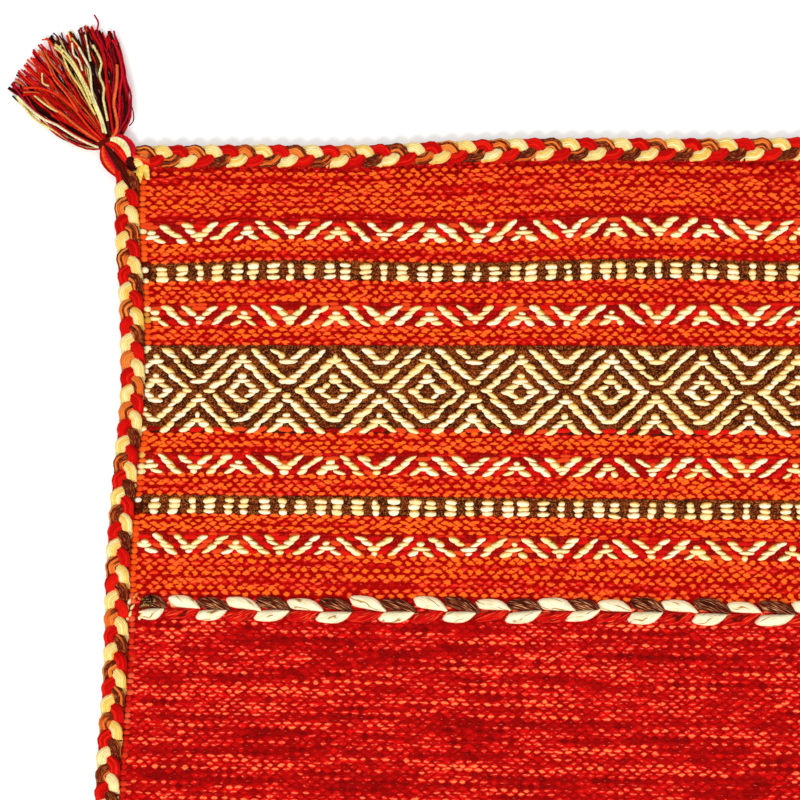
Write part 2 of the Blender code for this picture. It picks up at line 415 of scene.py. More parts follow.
def new_tree(name, sizes):
    """An empty Geometry Nodes tree with named inputs: the tree, the function that adds nodes to it,
    and the sockets of its inputs."""
    tree = bpy.data.node_groups.new(name, "GeometryNodeTree")
    tree.interface.new_socket("Geometry", in_out="INPUT", socket_type="NodeSocketGeometry")
    tree.interface.new_socket("Geometry", in_out="OUTPUT", socket_type="NodeSocketGeometry")
    for size, kind in sizes.items():
        tree.interface.new_socket(size, in_out="INPUT", socket_type="NodeSocket" + kind)
    return tree, partial(add, tree), tree.nodes.new("NodeGroupInput").outputs


def end_tree(tree, made, material):
    """Ends a tree: smooth, real geometry with its material."""
    real = add(tree, "GeometryNodeRealizeInstances", made)
    smooth = add(tree, "GeometryNodeSetShadeSmooth", real)
    dressed = add(tree, "GeometryNodeSetMaterial", smooth, None, material)
    add(tree, "NodeGroupOutput", dressed)
    print(tree.name, "is a tree of", len(tree.nodes), "nodes")
    return tree


def grow(name, start, tree, sizes):
    """Runs a tree on a mesh and keeps the result as a plain mesh."""
    seed = bpy.data.objects.new(name, start)
    bpy.context.scene.collection.objects.link(seed)
    modifier = seed.modifiers.new(name, "NODES")
    modifier.node_group = tree
    for item in tree.interface.items_tree:
        if item.item_type == "SOCKET" and item.in_out == "INPUT" and item.name in sizes:
            modifier[item.identifier] = sizes[item.name]
    evaluated = seed.evaluated_get(bpy.context.evaluated_depsgraph_get())
    mesh = bpy.data.meshes.new_from_object(evaluated)
    mesh.name = name
    seed.modifiers.remove(modifier)
    bpy.data.objects.remove(seed)
    return mesh


def add_piece(name, mesh, slot, *nodes):
    """Makes a finished mesh a piece of the rug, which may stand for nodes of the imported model."""
    piece = bpy.data.objects.new(name, mesh)
    bpy.context.scene.collection.objects.link(piece)
    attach(piece, "root")
    if nodes:
        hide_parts(*nodes)
    mesh.calc_loop_triangles()
    print(f"{name}: {len(mesh.loop_triangles)} triangles")
    return piece


# %% The tree that sets a shape on each point
def stitching_tree():
    tree, node, given = new_tree("stitches on points", {"Yarn": "Object", "Wool": "Material"})
    yarn = node("GeometryNodeObjectInfo", given["Yarn"])
    turned = node("CombineXYZ", {"Z": node(CARRIED, "turn")})
    stitches = node("GeometryNodeInstanceOnPoints", {
        "Points": given["Geometry"],
        "Instance": yarn.outputs["Geometry"],
        "Rotation": node("FunctionNodeEulerToRotation", turned),
        "Scale": node(CARRIED, "size", data_type="FLOAT_VECTOR"),
    })
    return end_tree(tree, stitches, given["Wool"])


STITCH_TREE = stitching_tree()


def lay_in(name, stitches, shape, wool, slot="orange_red_weft", nodes=(), facts=("dye", "rim"), woven=False):
    """Grows a piece from stitches on the loom's rectangle. Each is a row of x, y, z, length, width,
    height and turn, and then the facts."""
    carried = {fact: [stitch[7 + k] for stitch in stitches] for k, fact in enumerate(facts)}
    start = points_with(
        name, [stitch[0:3] for stitch in stitches], size=[stitch[3:6] for stitch in stitches],
        turn=[stitch[6] for stitch in stitches], **carried,
    )
    mesh = grow(name, start, STITCH_TREE, {"Yarn": shape, "Wool": wool})
    lay_on_cloth(mesh, woven)
    return add_piece(name, mesh, slot, *nodes)


# %% [markdown]
# ## Wool
#
# All yarn here is hand-spun wool: matt, with a faint bloom of loose fibres at grazing angles, and
# with fibres that wind round the yarn at a slant. Real fibres are about 0.03 mm thick, far too fine
# to show, so they are drawn as streaks of about 0.3 mm. Each yarn is darker at its rim, where it
# dives between its neighbours and little light follows.

# %% What all wool shares
WOOL_ROUGHNESS = 0.85
WOOL_GLOSS = 0.04
WOOL_BLOOM = 0.015
BLOOM_SPREAD = 0.5
FIBRE_PITCH = 0.3 * MM
FIBRE_STRETCH = 5.0
FIBRE_DEPTH = 0.12 * MM
FIBRE_RELIEF = 0.7


def finish_wool(material, colour, fibres):
    """Fills in a matt wool shader from its colour and its fibre pattern."""
    relief = {"Height": fibres, "Strength": FIBRE_RELIEF, "Distance": FIBRE_DEPTH}
    bump = add(material.node_tree, "Bump", relief)
    set_shader(material, {
        "Base Color": colour, "Normal": bump, "Roughness": WOOL_ROUGHNESS, "Sheen Weight": WOOL_BLOOM,
        "Sheen Roughness": BLOOM_SPREAD, "Specular IOR Level": WOOL_GLOSS,
    })
    return material


def fibre_pattern(node, place, slant):
    """Streaks along the yarn, at a slant to it."""
    turned = node("Mapping", {
        "Vector": place,
        "Rotation": (0.0, 0.0, slant),
        "Scale": (1.0 / (FIBRE_PITCH * FIBRE_STRETCH), 1.0 / FIBRE_PITCH, 1.0 / FIBRE_PITCH),
    })
    return node("TexNoise", turned, 1.0, 2.0, 0.6)


# %% Heathered ground wool
# The edges that tufts make ragged part a crown's dye from its painted highlight and from its painted shade.
RAGGED = 1.5  # how far tufts of loose fibre move the edge between a crown's dyes
TUFT_SIZE = 1.1 * MM
TUFT_SCALE = (0.45 / TUFT_SIZE, 1.1 / TUFT_SIZE, 1.0)  # drawn out along the pick, squeezed across it
DEEPEST_GAP_SHADE = "#600200"  # the deepest gaps, where no light follows
STREAKS = (110.0, 620.0, 1.0)  # per metre: dye streaks of 9 mm along a pick and 1.6 mm across it
DYE_DRIFT = (0.055, 3.71, 0.0)  # per warp and pick: a pick drifts over 18 warps, and each on its own
DYE_PATCH = (0.028, 0.21, 0.0)  # per warp and pick: a patch is 36 warps long and 5 picks wide
CHANCE_SHARE = 0.3  # how much the dye differs from crown to crown


def ground_wool(name, dyes, shaded_gap_dye, pale_fibre_and_highlight_dyes, shares, edges, rim, patchy, drifting):
    """Weft whose dye drifts along the pick, as heathered yarn does. The loom attribute holds each
    crown's warp number, pick number and a random share, and warmth says how orange the pick is.
    A paler fibre lies on top of each crown, painted brighter as a highlight. Between the two shares,
    the edge where it ends goes from the first to the second of edges, from 1 on the ridge down to 0
    at the rim. Rim says between which heights the gap's red, painted darker as shade, gives way to
    the yarn's dye. Patchy says how much the dye drifts over many picks together, and drifting how
    much it drifts along one pick."""
    material, node = new_material(name)
    loom = node("Attribute", attribute_name="loom").outputs["Vector"]
    warmth, crest = (node("Attribute", attribute_name=fact).outputs["Fac"] for fact in ("warmth", "crest"))

    # How far each place is on the way from the reddest dye to the most orange one.
    drift = node("VectorMath", loom, DYE_DRIFT, operation="MULTIPLY")
    drift = node("TexNoise", drift, 1.0, 3.0, 0.6)
    drift = node("MapRange", drift, 0.32, 0.68, -0.5, 0.5)
    patch = node("VectorMath", loom, DYE_PATCH, operation="MULTIPLY")
    patch = node("TexNoise", patch, 1.0, 2.0)
    patch = node("MapRange", patch, *NOISE, -patchy, patchy)
    warmth = node("Math", warmth, patch, operation="ADD")
    chance = node("SeparateXYZ", loom).outputs["Z"]
    share = node("Math", drift, drifting, warmth, operation="MULTIPLY_ADD")
    share = node("Math", chance, CHANCE_SHARE, share, operation="MULTIPLY_ADD")
    share = node("Math", share, CHANCE_SHARE / 2, operation="SUBTRACT")
    yarn_dye = node("ValToRGB", share, dyes=dyes)

    # Where the paler fibre and its painted highlight on the ridge end, with an edge that tufts make ragged.
    edge = node("MapRange", share, *shares, *edges)
    place = node("TexCoord").outputs["Object"]
    fibres = fibre_pattern(node, place, math.radians(25))
    tufts = node("Mapping", {"Vector": place, "Scale": TUFT_SCALE})
    tufts = node("TexNoise", tufts, 1.0, 2.0, 0.6)
    ragged = node("Math", tufts, RAGGED, crest, operation="MULTIPLY_ADD")
    ragged = node("Math", ragged, RAGGED / 2, operation="SUBTRACT")
    above = node("Math", ragged, edge, operation="SUBTRACT")
    ridge = node("MapRange", above, -0.08, 0.14)

    # The yarn's streaks and fibres, its painted highlight, and the painted shade of the dark gap that it
    # rises from, deepest in tufted spots.
    streaks = node("Mapping", {"Vector": place, "Scale": STREAKS})
    streaks = node("TexNoise", streaks, 1.0, 2.0)
    streaks = node("MapRange", streaks, 0.34, 0.66, 0.66, 1.24)
    streaked = node("VectorMath", yarn_dye, streaks, operation="SCALE")
    pale_fibre_and_highlight = node("ValToRGB", share, dyes=pale_fibre_and_highlight_dyes)
    highlighted = node("Mix", ridge, streaked, pale_fibre_and_highlight, data_type="RGBA")
    shade = node("MapRange", fibres, *NOISE, 0.84, 1.1)
    shaded = node("VectorMath", highlighted, shade, operation="SCALE")
    # Painted shade: low on the crown, near its rim, the gap's darkened red takes over from the yarn's dye.
    rise = node("MapRange", ragged, *rim, interpolation_type="SMOOTHSTEP")
    deeper_shade_mask = node("MapRange", tufts, 0.46, 0.34)
    gap_shade = node("Mix", deeper_shade_mask, shaded_gap_dye, DEEPEST_GAP_SHADE, data_type="RGBA")
    colour = node("Mix", rise, gap_shade, shaded, data_type="RGBA")
    return finish_wool(material, colour, fibres)


# Single weft yarn, carded from fleece of several dyes before it was spun. The eye sees a pick drift
# between red and orange, under a haze of paler fibre painted brighter as a highlight, and dark red
# painted shade between the crowns.
BORDER_WOOL = ground_wool(
    "heathered orange wool",
    dyes=((0.00, "#B00604"), (0.25, "#D00E06"), (0.50, "#E4240A"), (0.75, "#F0400C"), (1.00, "#F85410")),
    shaded_gap_dye="#B00300",
    pale_fibre_and_highlight_dyes=((0.15, "#FF5448"), (0.5, "#FE602E"), (0.85, "#FF6E1C")),
    shares=(0.05, 0.75), edges=(0.95, 0.45), rim=(0.22, 0.5), patchy=0.06, drifting=0.9,
)
# The same yarn carded from reds. Its ridges carry the paler fibre, painted brighter as a highlight,
# only here and there, so the field looks deep and even, with short bright flecks.
FIELD_WOOL = ground_wool(
    "heathered red wool",
    dyes=((0.00, "#860202"), (0.25, "#B00504"), (0.50, "#D20A08"), (0.75, "#E4140C"), (1.00, "#EC2010")),
    shaded_gap_dye="#A40402",
    pale_fibre_and_highlight_dyes=((0.3, "#FF5A4A"), (0.6, "#FF7450"), (0.9, "#FF844C")),
    shares=(0.25, 0.8), edges=(1.15, 0.7), rim=(-0.05, 0.55), patchy=0.08, drifting=0.95,
)
print("ground wools:", BORDER_WOOL.name, "and", FIELD_WOOL.name)

# %% [markdown]
# ## The cloth
#
# Under the raised yarns lies the cloth itself, a thin closed sheet. Only its gaps show, dark red
# between the crowns and brown under the brown brocade, each the yarn's own colour painted darker as
# the shade down in the gaps, so its material colours it by the distance from the rug's end.

# %% The rows of a border
# From the rug's end towards the field: kind of band, rows in it, pitch of its rows in mm.
BORDER_BANDS = (
    ("ground", 13, 2.18), ("red line", 1, 1.5), ("zigzag", 4, 2.35),
    ("ground", 5, 2.14), ("brown line", 1, 1.1), ("stripe", 3, 2.7),
    ("ground", 5, 2.18), ("red line", 1, 1.5), ("zigzag", 4, 2.35),
    ("ground", 5, 2.04), ("brown line", 1, 2.0), ("diamond", 17, 2.46),
    ("ground", 5, 2.06), ("red line", 1, 1.5), ("zigzag", 4, 2.3),
    ("ground", 5, 2.24), ("brown line", 1, 1.1), ("stripe", 3, 2.7),
    ("ground", 5, 1.88), ("red line", 1, 1.2), ("zigzag", 4, 2.3),
    ("ground", 9, 2.33),
)


def band_rows():
    """Every row of a border: kind, row number in its band, rows in it, distance from the end, pitch."""
    at = 0.0
    for kind, rows, pitch in BORDER_BANDS:
        for row in range(rows):
            yield kind, row, rows, (at + pitch / 2) * MM, pitch * MM
            at += pitch


rows = list(band_rows())
*_, last_at, last_pitch = rows[-1]
print("border rows:", len(rows), "and they end", round(last_at + last_pitch / 2, 4), "m from the rug's end")

# %% The cloth's wool
# The gaps' colours: the yarns' own red and brown, painted darker as the shade down in the gaps.
SHADED_GAP_RED = "#A60200"
SHADED_GAP_BROWN = "#421606"
SHADED_GAP_FIELD = "#980402"
RAMP_REACH = 0.25  # how far from the rug's end the ramp of bands reaches, in metres


def cloth_wool():
    """Bands of dye, painted darker as shade, by the distance from the rug's nearer end."""
    material, node = new_material("flat woven wool")
    loom = node("UVMap", uv_map="loom")
    from_near = node("SeparateXYZ", loom).outputs["Y"]
    from_far = node("Math", 1.0, from_near, operation="SUBTRACT")
    from_end = node("Math", from_near, from_far, operation="MINIMUM")
    share = node("Math", from_end, 2 * HALF_LENGTH / RAMP_REACH, operation="MULTIPLY")
    stops = [(0.0, SHADED_GAP_RED)]
    for kind, row, count, at, pitch in rows:
        dye = SHADED_GAP_BROWN if kind in ("stripe", "diamond", "brown line") else SHADED_GAP_RED
        if dye != stops[-1][1]:
            stops.append(((at - pitch / 2) / RAMP_REACH, dye))
    banded = node("ValToRGB", share, dyes=stops + [(BORDER_LENGTH / RAMP_REACH, SHADED_GAP_FIELD)])
    banded.color_ramp.interpolation = "CONSTANT"
    fibres = fibre_pattern(node, node("TexCoord").outputs["Object"], 0.0)
    shade = node("MapRange", fibres, *NOISE, 0.7, 1.1)
    return finish_wool(material, node("VectorMath", banded, shade, operation="SCALE"), fibres)


# %% Cloth sheet
CLOTH_TOP = 2.3 * MM
SHEET_COLUMNS = 46
SHEET_ROWS = 70

shape = bmesh.new()
loom_uv = shape.loops.layers.uv.new("loom")
bmesh.ops.create_grid(shape, x_segments=SHEET_COLUMNS, y_segments=SHEET_ROWS, size=0.5)
for face in shape.faces:
    for loop in face.loops:
        loop[loom_uv].uv = (loop.vert.co.x + 0.5, loop.vert.co.y + 0.5)
for vertex in shape.verts:
    vertex.co = (vertex.co.x * 2 * HALF_WIDTH, vertex.co.y * 2 * HALF_LENGTH, 0.0)
sheet_mesh = bpy.data.meshes.new("cloth")
shape.to_mesh(sheet_mesh)
shape.free()
lay_on_cloth(sheet_mesh)
# Firmly beaten weft. Only the bottoms of its gaps show, matt and painted dark as shade, and give
# the crowns above them their outline.
sheet_mesh.materials.append(cloth_wool())
sheet_mesh.shade_smooth()
cloth = add_piece("cloth", sheet_mesh, "orange_red_weft", "rug_cloth")
thickness = cloth.modifiers.new("thickness", "SOLIDIFY")
thickness.thickness = CLOTH_TOP
thickness.offset = 1.0

# %% [markdown]
# ## Weft crowns of the plain weave
#
# In plain weave each weft passes over one warp and under the next, and the next weft does the
# opposite, so the face shows a brick pattern of small rounded crowns. A tree turns one point per
# weft pick into a row of crowns two warps apart, shifts every second row by one warp, and makes
# each a little different, because hand-spun yarn is never even.

# %% The weaving tree
BEAT_WAVE = 28.0  # per metre: the beaten picks wave over about 36 mm
TURN_OVER = 0.07  # per warp: the crowns' thick side changes over about 14 warps


def weaving_tree():
    """A row of crowns for each point. What is uneven in them comes from the tree's seed."""
    tree, node, given = new_tree("crowns along picks", {
        "Crowns": "Int", "Warp Pitch": "Float", "Crown Length": "Float", "Crown Height": "Float",
        "Beating": "Float", "Seed": "Int", "Yarn": "Object", "Wool": "Material",
    })
    warp_pitch = given["Warp Pitch"]

    def uneven(low, high, seed_shift):
        seed = node("FunctionNodeIntegerMath", given["Seed"], seed_shift, operation="ADD")
        return node("FunctionNodeRandomValue", {"Min": low, "Max": high, "Seed": seed}, data_type="FLOAT")

    # One line of points, two warps apart, for each pick.
    row_start = node("Math", given["Crowns"], warp_pitch, operation="MULTIPLY")
    row_start = node("Math", row_start, -1.0, operation="MULTIPLY")
    two_warps = node("Math", warp_pitch, 2.0, operation="MULTIPLY")
    pick_row = node("GeometryNodeMeshLine", {
        "Count": given["Crowns"],
        "Start Location": node("CombineXYZ", row_start),
        "Offset": node("CombineXYZ", two_warps),
    })
    picks = node("GeometryNodeInstanceOnPoints", {"Points": given["Geometry"], "Instance": pick_row})
    crown_points = node("GeometryNodeRealizeInstances", picks)

    # Every second pick is shifted by a warp, and the beater leaves each crown a little off its line.
    pick = node(CARRIED, "pick")
    odd = node("Math", pick, 2.0, operation="MODULO")
    shift = node("Math", odd, warp_pitch, operation="MULTIPLY")
    half_crown = node("Math", warp_pitch, uneven(0.3, 0.7, 1), operation="MULTIPLY")
    beaten = node("TexNoise", node("GeometryNodeInputPosition"), BEAT_WAVE, 2.0)
    beaten = node("Math", beaten, uneven(0.38, 0.62, 7), operation="SUBTRACT")
    moved = node("GeometryNodeSetPosition", {
        "Geometry": crown_points,
        "Offset": node(
            "CombineXYZ",
            node("Math", shift, half_crown, operation="ADD"),
            node("Math", beaten, given["Beating"], operation="MULTIPLY"),
        ),
    })

    # The dye follows the loom: warp number, pick number and a share that differs for each crown.
    place = node("SeparateXYZ", node("GeometryNodeInputPosition"))
    warp_number = node("Math", place, warp_pitch, operation="DIVIDE")
    loom = node("CombineXYZ", warp_number, pick, uneven(0.0, 1.0, 2))
    marked = node(STORED, moved, None, "loom", loom, data_type="FLOAT_VECTOR")

    # Each crown's size, and which way round its thicker side lies.
    crown_size = node(
        "CombineXYZ",
        node("Math", given["Crown Length"], uneven(0.76, 1.28, 3), operation="MULTIPLY"),
        node("Math", node(CARRIED, "thickness"), uneven(0.75, 1.15, 4), operation="MULTIPLY"),
        node("Math", given["Crown Height"], uneven(0.85, 1.15, 5), operation="MULTIPLY"),
    )
    slow = node("CombineXYZ", warp_number, node("Math", pick, 47.3, operation="MULTIPLY"))
    slow = node("TexNoise", slow, TURN_OVER, 1.0)
    turned_over = node("Math", slow, 0.5, operation="GREATER_THAN")
    tilt = node("Math", turned_over, math.pi, uneven(-0.2, 0.2, 6), operation="MULTIPLY_ADD")
    crowns = node("GeometryNodeInstanceOnPoints", {
        "Points": marked,
        "Instance": node("GeometryNodeObjectInfo", given["Yarn"]).outputs["Geometry"],
        "Rotation": node("FunctionNodeEulerToRotation", node("CombineXYZ", {"Z": tilt})),
        "Scale": crown_size,
    })
    return end_tree(tree, crowns, given["Wool"])


WEAVE_TREE = weaving_tree()

# %% Weave the two borders
CROWN_BASE = CLOTH_TOP - 0.1 * MM
CROWNS_PER_PICK = 109
BORDER_CROWN_COVER = 1.85  # a crown's width in pitches of its pick
BORDER_WARMTH = (0.5, 0.3)  # how orange a pick is at least, and how much picks differ
WARMER_INWARD = (0.14, 0.12)  # how much more orange picks get, and over how many metres from the end
FIRST_PICK_WARMTH = 0.1  # the pick at the rug's very end is red
RED_PICKS = 0.12  # the share of picks that are redder
REDDER = 0.35
border_crown = spindle("border crown", ((-0.28, 0.66), (0.0, 1.0), (0.28, 0.66)), 3, 0.12)
BORDER_YARN = {
    "Crown Length": 5.2 * MM, "Crown Height": 0.8 * MM, "Beating": 2.0 * MM, "Seed": 11,
    "Yarn": border_crown, "Wool": BORDER_WOOL,
}
chance = np.random.default_rng(7)


def weave(name, picks, cover, yarn):
    """Weaves picks: rows of distance along the rug, pitch, warmth and pick number."""
    along, pitch, warmth, number = np.array(picks).T
    places = np.column_stack((0 * along, along, 0 * along + CROWN_BASE))
    start = points_with(name, places, thickness=pitch * cover, warmth=warmth, pick=number)
    mesh = grow(name, start, WEAVE_TREE, {"Crowns": CROWNS_PER_PICK, "Warp Pitch": WARP_PITCH, **yarn})
    lay_on_cloth(mesh, woven=True)
    return add_piece(name, mesh, "orange_red_weft")


ENDS = (("far", 1.0), ("near", -1.0))
SIDES = (("left", -1.0), ("right", 1.0))
for end_name, end in ENDS:
    picks = []
    for kind, row, count, at, pitch in rows:
        if kind != "ground":
            continue
        warmth = BORDER_WARMTH[0] + BORDER_WARMTH[1] * chance.random()
        warmth += WARMER_INWARD[0] * smooth_step(at / WARMER_INWARD[1])
        if row == 0 and at < 0.01:
            warmth = FIRST_PICK_WARMTH
        elif chance.random() < RED_PICKS:
            warmth -= REDDER
        picks.append((end * (HALF_LENGTH - at), pitch, warmth, len(picks)))
    weave(f"border_weave_{end_name}", picks, BORDER_CROWN_COVER, BORDER_YARN)

# %% Weave the field, as two halves
FIELD_CROWN_COVER = 2.1
FIELD_PICKS = 221
FIELD_WARMTH = (0.3, 0.34)  # how orange a pick is at least, and how much picks differ
MOSTLY_RED = 1.3  # above 1, more of the picks stay near the red end
FAINT_STRIPES = (0.08, 0.9)  # how strong they are, and how fast they wave, in radians per pick
TRIM_PICKS = 5
field_crown = hipped("field crown")
FIELD_YARN = {
    "Crown Length": 5.5 * MM, "Crown Height": 0.75 * MM, "Beating": 1.5 * MM, "Seed": 23,
    "Yarn": field_crown, "Wool": FIELD_WOOL,
}
pick_pitch = FIELD_LENGTH / FIELD_PICKS
for half_name, half in ENDS:
    picks = []
    for number in range(FIELD_PICKS // 2 + 1 + TRIM_PICKS):
        warmth = FIELD_WARMTH[0] + FIELD_WARMTH[1] * chance.random() ** MOSTLY_RED
        warmth += FAINT_STRIPES[0] * math.sin(number * FAINT_STRIPES[1])
        picks.append((half * pick_pitch * (number + 0.5), pick_pitch, warmth, number + (half < 0)))
    weave(f"field_weave_{half_name}", picks, FIELD_CROWN_COVER, FIELD_YARN)

# %% [markdown]
# ## Brocaded bands
#
# The pattern yarns are laid in by hand between the ground picks and float over two or three warps
# at a time. Their rule is simple: on each row the float moves one warp on, which gives slanted bars,
# and every nine warps the slant turns back, which gives zigzags and nested diamonds. A small chart
# says for any warp and row whether cream or the band's ground yarn is on top.

# %% The chart
REPEAT = 18
HALF_REPEAT = 9
FIRST_CROSSING = 11
DIAMOND_MIDDLE = 8


def is_cream(kind, row, from_crossing):
    """Whether cream floats on a row of a band, this many warps from the nearest crossing."""
    if kind == "zigzag":
        return (from_crossing + row) % 4 >= 2
    if kind == "stripe":
        return (from_crossing + 3) % 4 >= 2
    return (HALF_REPEAT - from_crossing + abs(row - DIAMOND_MIDDLE)) % 4 >= 2


def slant_of(kind, row, middle):
    """Which way the bar leans that a float at this warp is part of: 0 where the bars cross."""
    beside = (middle - FIRST_CROSSING + HALF_REPEAT) % REPEAT - HALF_REPEAT
    if kind == "stripe" or abs(beside) < 0.1 or abs(abs(beside) - HALF_REPEAT) < 0.1:
        return 0.0
    turned = float(np.sign(DIAMOND_MIDDLE - row)) if kind == "diamond" else 1.0
    return math.copysign(1.0, beside) * turned


def floats_of(kind, row):
    """The floats of a row: first warp, warps crossed, whether cream, and which way the bar slants."""
    crossings = [(w - FIRST_CROSSING) % REPEAT for w in range(WARPS)]
    from_crossing = [min(far, -far % REPEAT) for far in crossings]
    cream = [is_cream(kind, row, far) for far in from_crossing]
    # A diamond's innermost bar has no foot of a single cream warp below it.
    foot_at = HALF_REPEAT if row > DIAMOND_MIDDLE else 0
    found = []
    first = 0
    for warp in range(1, WARPS + 1):
        if warp < WARPS and cream[warp] == cream[first]:
            continue
        lone_foot = kind == "diamond" and row != DIAMOND_MIDDLE and warp - first == 1
        lone_foot = lone_foot and from_crossing[first] == foot_at
        slant = slant_of(kind, row, (first + warp - 1) / 2)
        found.append((first, warp - first, cream[first] and not lone_foot, slant))
        first = warp
    return found


for row in range(4):
    print("".join("o" * n if cream else "." * n for _, n, cream, _ in floats_of("zigzag", row))[:60])


# %% Brocade wool
def brocade_wool(name, rim_share, far_shade, speck_dye, speck_from, speck_share, speck_size):
    """Plump yarn in its own dye, with painted shade at a ragged rim, and with specks of a second fibre.
    Far shade says how much further the rim's painted shade reaches up the far side of a float than up
    its near side."""
    material, node = new_material(name)
    own, rim = (node("Attribute", attribute_name=fact).outputs["Color"] for fact in ("dye", "rim"))
    crest, aside = (node("Attribute", attribute_name=fact).outputs["Fac"] for fact in ("crest", "aside"))
    place = node("TexCoord").outputs["Object"]
    fibres = fibre_pattern(node, place, math.radians(30))
    tufts = node("TexNoise", place, 1.0 / speck_size, 3.0, 0.7)
    specks = node("MapRange", tufts, speck_from, speck_from + 0.1, 0.0, speck_share)
    flecked = node("Mix", specks, own, speck_dye, data_type="RGBA")
    shade = node("MapRange", fibres, *NOISE, 0.85, 1.08)
    shaded = node("VectorMath", flecked, shade, operation="SCALE")
    # The rim's colour is painted shade, which reaches further up the far side, away from the key light.
    lit = node("Math", aside, -far_shade, crest, operation="MULTIPLY_ADD")
    ragged = node("Math", tufts, 0.5, operation="SUBTRACT")
    lit = node("Math", ragged, RAGGED, lit, operation="MULTIPLY_ADD")
    rise = node("MapRange", lit, 0.0, rim_share, interpolation_type="SMOOTHSTEP")
    return finish_wool(material, node("Mix", rise, rim, shaded, data_type="RGBA"), fibres)


# Undyed fleece, softly spun and plump: near-white on top, and a golden painted shade where its rims turn
# down.
CREAM_WOOL = brocade_wool("undyed cream wool", 0.9, 2.1, "#FFDC78", 0.52, 0.65, 1.2 * MM)
# Brown fleece with its tan hairs left in: dark floats with warm flecks.
BROWN_WOOL = brocade_wool("brown wool with tan hairs", 0.3, 0.3, "#BC682C", 0.5, 0.75, 0.8 * MM)
# Smooth wool dyed as finished yarn: one clear red, with a little orange where it catches the light.
RED_WOOL = brocade_wool("plain red wool", 0.34, 0.4, "#F04020", 0.54, 0.4, 1.0 * MM)

# %% Dyes of the floats
CREAM = ("#FFF4C4", "#FFECAE", "#FFF8DA")
# The rim colours here and below are painted shade at the floats' rims, strongest on their far sides.
CREAM_RIM_SHADE = ("#D28A18", "#B4700E", "#E09E2A")
BROWN = ("#501202", "#420E02", "#642004", "#340A02", "#5A1A04")
BROWN_RIM_SHADE = ("#3A0E04", "#2E0A02")
RED = ("#C8080A", "#A00406", "#DA120A", "#E84618", "#8C0404")
RED_RIM_SHADE = ("#940402", "#820302")


def choose(dyes):
    return linear(dyes[chance.integers(len(dyes))])


# %% Lay in the floats
TILT = math.radians(20)
SHORT_FLOATS = 0.1  # the share of cream floats that come out short
SHORT = 0.7
LINE_WIDTH = 1.6 * MM  # a line's yarn is at least this wide
LINE_LENGTH = 2.5  # of its floats, in warps
LINE_COVER = 1.25  # its floats' width, in widths of the line
LINE_HEIGHT = 0.9 * MM
OFF_WARP = 0.3  # how far a float strays along its row and across it, in mm, and from its turn
OFF_ROW = 0.22
OFF_TURN = 0.09
# Of the cream floats, and then of the band's ground yarn between them: how much longer than its
# warps a float is, in mm, its width in pitches of its row, and its height in mm.
CREAM_EXTRA, CREAM_COVER, CREAM_HEIGHT = (0.6, 3.0), (1.0, 1.7), (1.2, 1.7)
GROUND_EXTRA, GROUND_COVER, GROUND_HEIGHT = 1.6, (1.1, 1.3), (0.6, 0.9)
GROUND_TURN = 0.8  # the ground yarn leans less than the cream does
LONGEST_GROUND_FLOAT = 3  # warps; the band's ground yarn is tied down in between if it crosses more


def line_floats(end, row, at, pitch, dyes, rims):
    """A single pick across the rug, in floats over every second warp."""
    found = []
    for first in range(1 + row % 2, WARPS - 2, 2):
        x = -HALF_WIDTH + (first + 1.0) * WARP_PITCH
        length = LINE_LENGTH * WARP_PITCH * chance.uniform(0.85, 1.1)
        size = (length, max(pitch, LINE_WIDTH) * LINE_COVER, LINE_HEIGHT)
        place = (x * end, end * (HALF_LENGTH - at), CROWN_BASE)
        found.append((*place, *size, 0.0, choose(dyes), choose(rims)))
    return found


def brocade(end):
    """One border's cream floats, and the brown and the red floats between them."""
    creams, browns, reds = [], [], []
    for kind, row, count, at, pitch in rows:
        if kind == "ground":
            continue
        if kind == "brown line":
            browns += line_floats(end, row, at, pitch, BROWN, BROWN_RIM_SHADE)
            continue
        if kind == "red line":
            reds += line_floats(end, row, at, pitch, RED, RED_RIM_SHADE)
            continue
        red = kind == "zigzag" or (kind == "diamond" and row == count - 1)
        found, dyes, rims = (reds, RED, RED_RIM_SHADE) if red else (browns, BROWN, BROWN_RIM_SHADE)
        for first, warps, cream, slant in floats_of(kind, row):
            if first == 0 and kind != "diamond":
                continue
            x = -HALF_WIDTH + (first + warps / 2) * WARP_PITCH + chance.normal(0.0, OFF_WARP) * MM
            y = end * (HALF_LENGTH - at) + chance.normal(0.0, OFF_ROW) * MM
            turn = slant * TILT + chance.normal(0.0, OFF_TURN)
            if cream:
                length = warps * WARP_PITCH + chance.uniform(*CREAM_EXTRA) * MM
                if chance.random() < SHORT_FLOATS:
                    length *= SHORT
                size = (length, pitch * chance.uniform(*CREAM_COVER), chance.uniform(*CREAM_HEIGHT) * MM)
                creams.append((x * end, y, CROWN_BASE, *size, turn, choose(CREAM), choose(CREAM_RIM_SHADE)))
                continue
            pieces = 1 if warps <= LONGEST_GROUND_FLOAT else 2
            for part in range(pieces):
                middle = x + (part - (pieces - 1) / 2) * warps * WARP_PITCH / pieces
                length = warps * WARP_PITCH / pieces + GROUND_EXTRA * MM
                size = (length, pitch * chance.uniform(*GROUND_COVER), chance.uniform(*GROUND_HEIGHT) * MM)
                place = (middle * end, y, CROWN_BASE)
                found.append((*place, *size, turn * GROUND_TURN, choose(dyes), choose(rims)))
    return creams, browns, reds


plump_float = spindle("plump float", ((-0.32, 0.72), (0.0, 1.0), (0.32, 0.72)), 5, tip=0.55)
flat_float = spindle("flat float", ((-0.25, 0.93), (0.25, 0.93)), 4)
BROCADES = (
    ("cream", plump_float, CREAM_WOOL), ("brown", flat_float, BROWN_WOOL), ("red", flat_float, RED_WOOL),
)
for end_name, end in ENDS:
    for (dye, shape, wool), floats in zip(BROCADES, brocade(end)):
        lay_in(f"{dye}_floats_{end_name}", floats, shape, wool, woven=True)
        print(end_name, "border:", len(floats), dye, "floats")

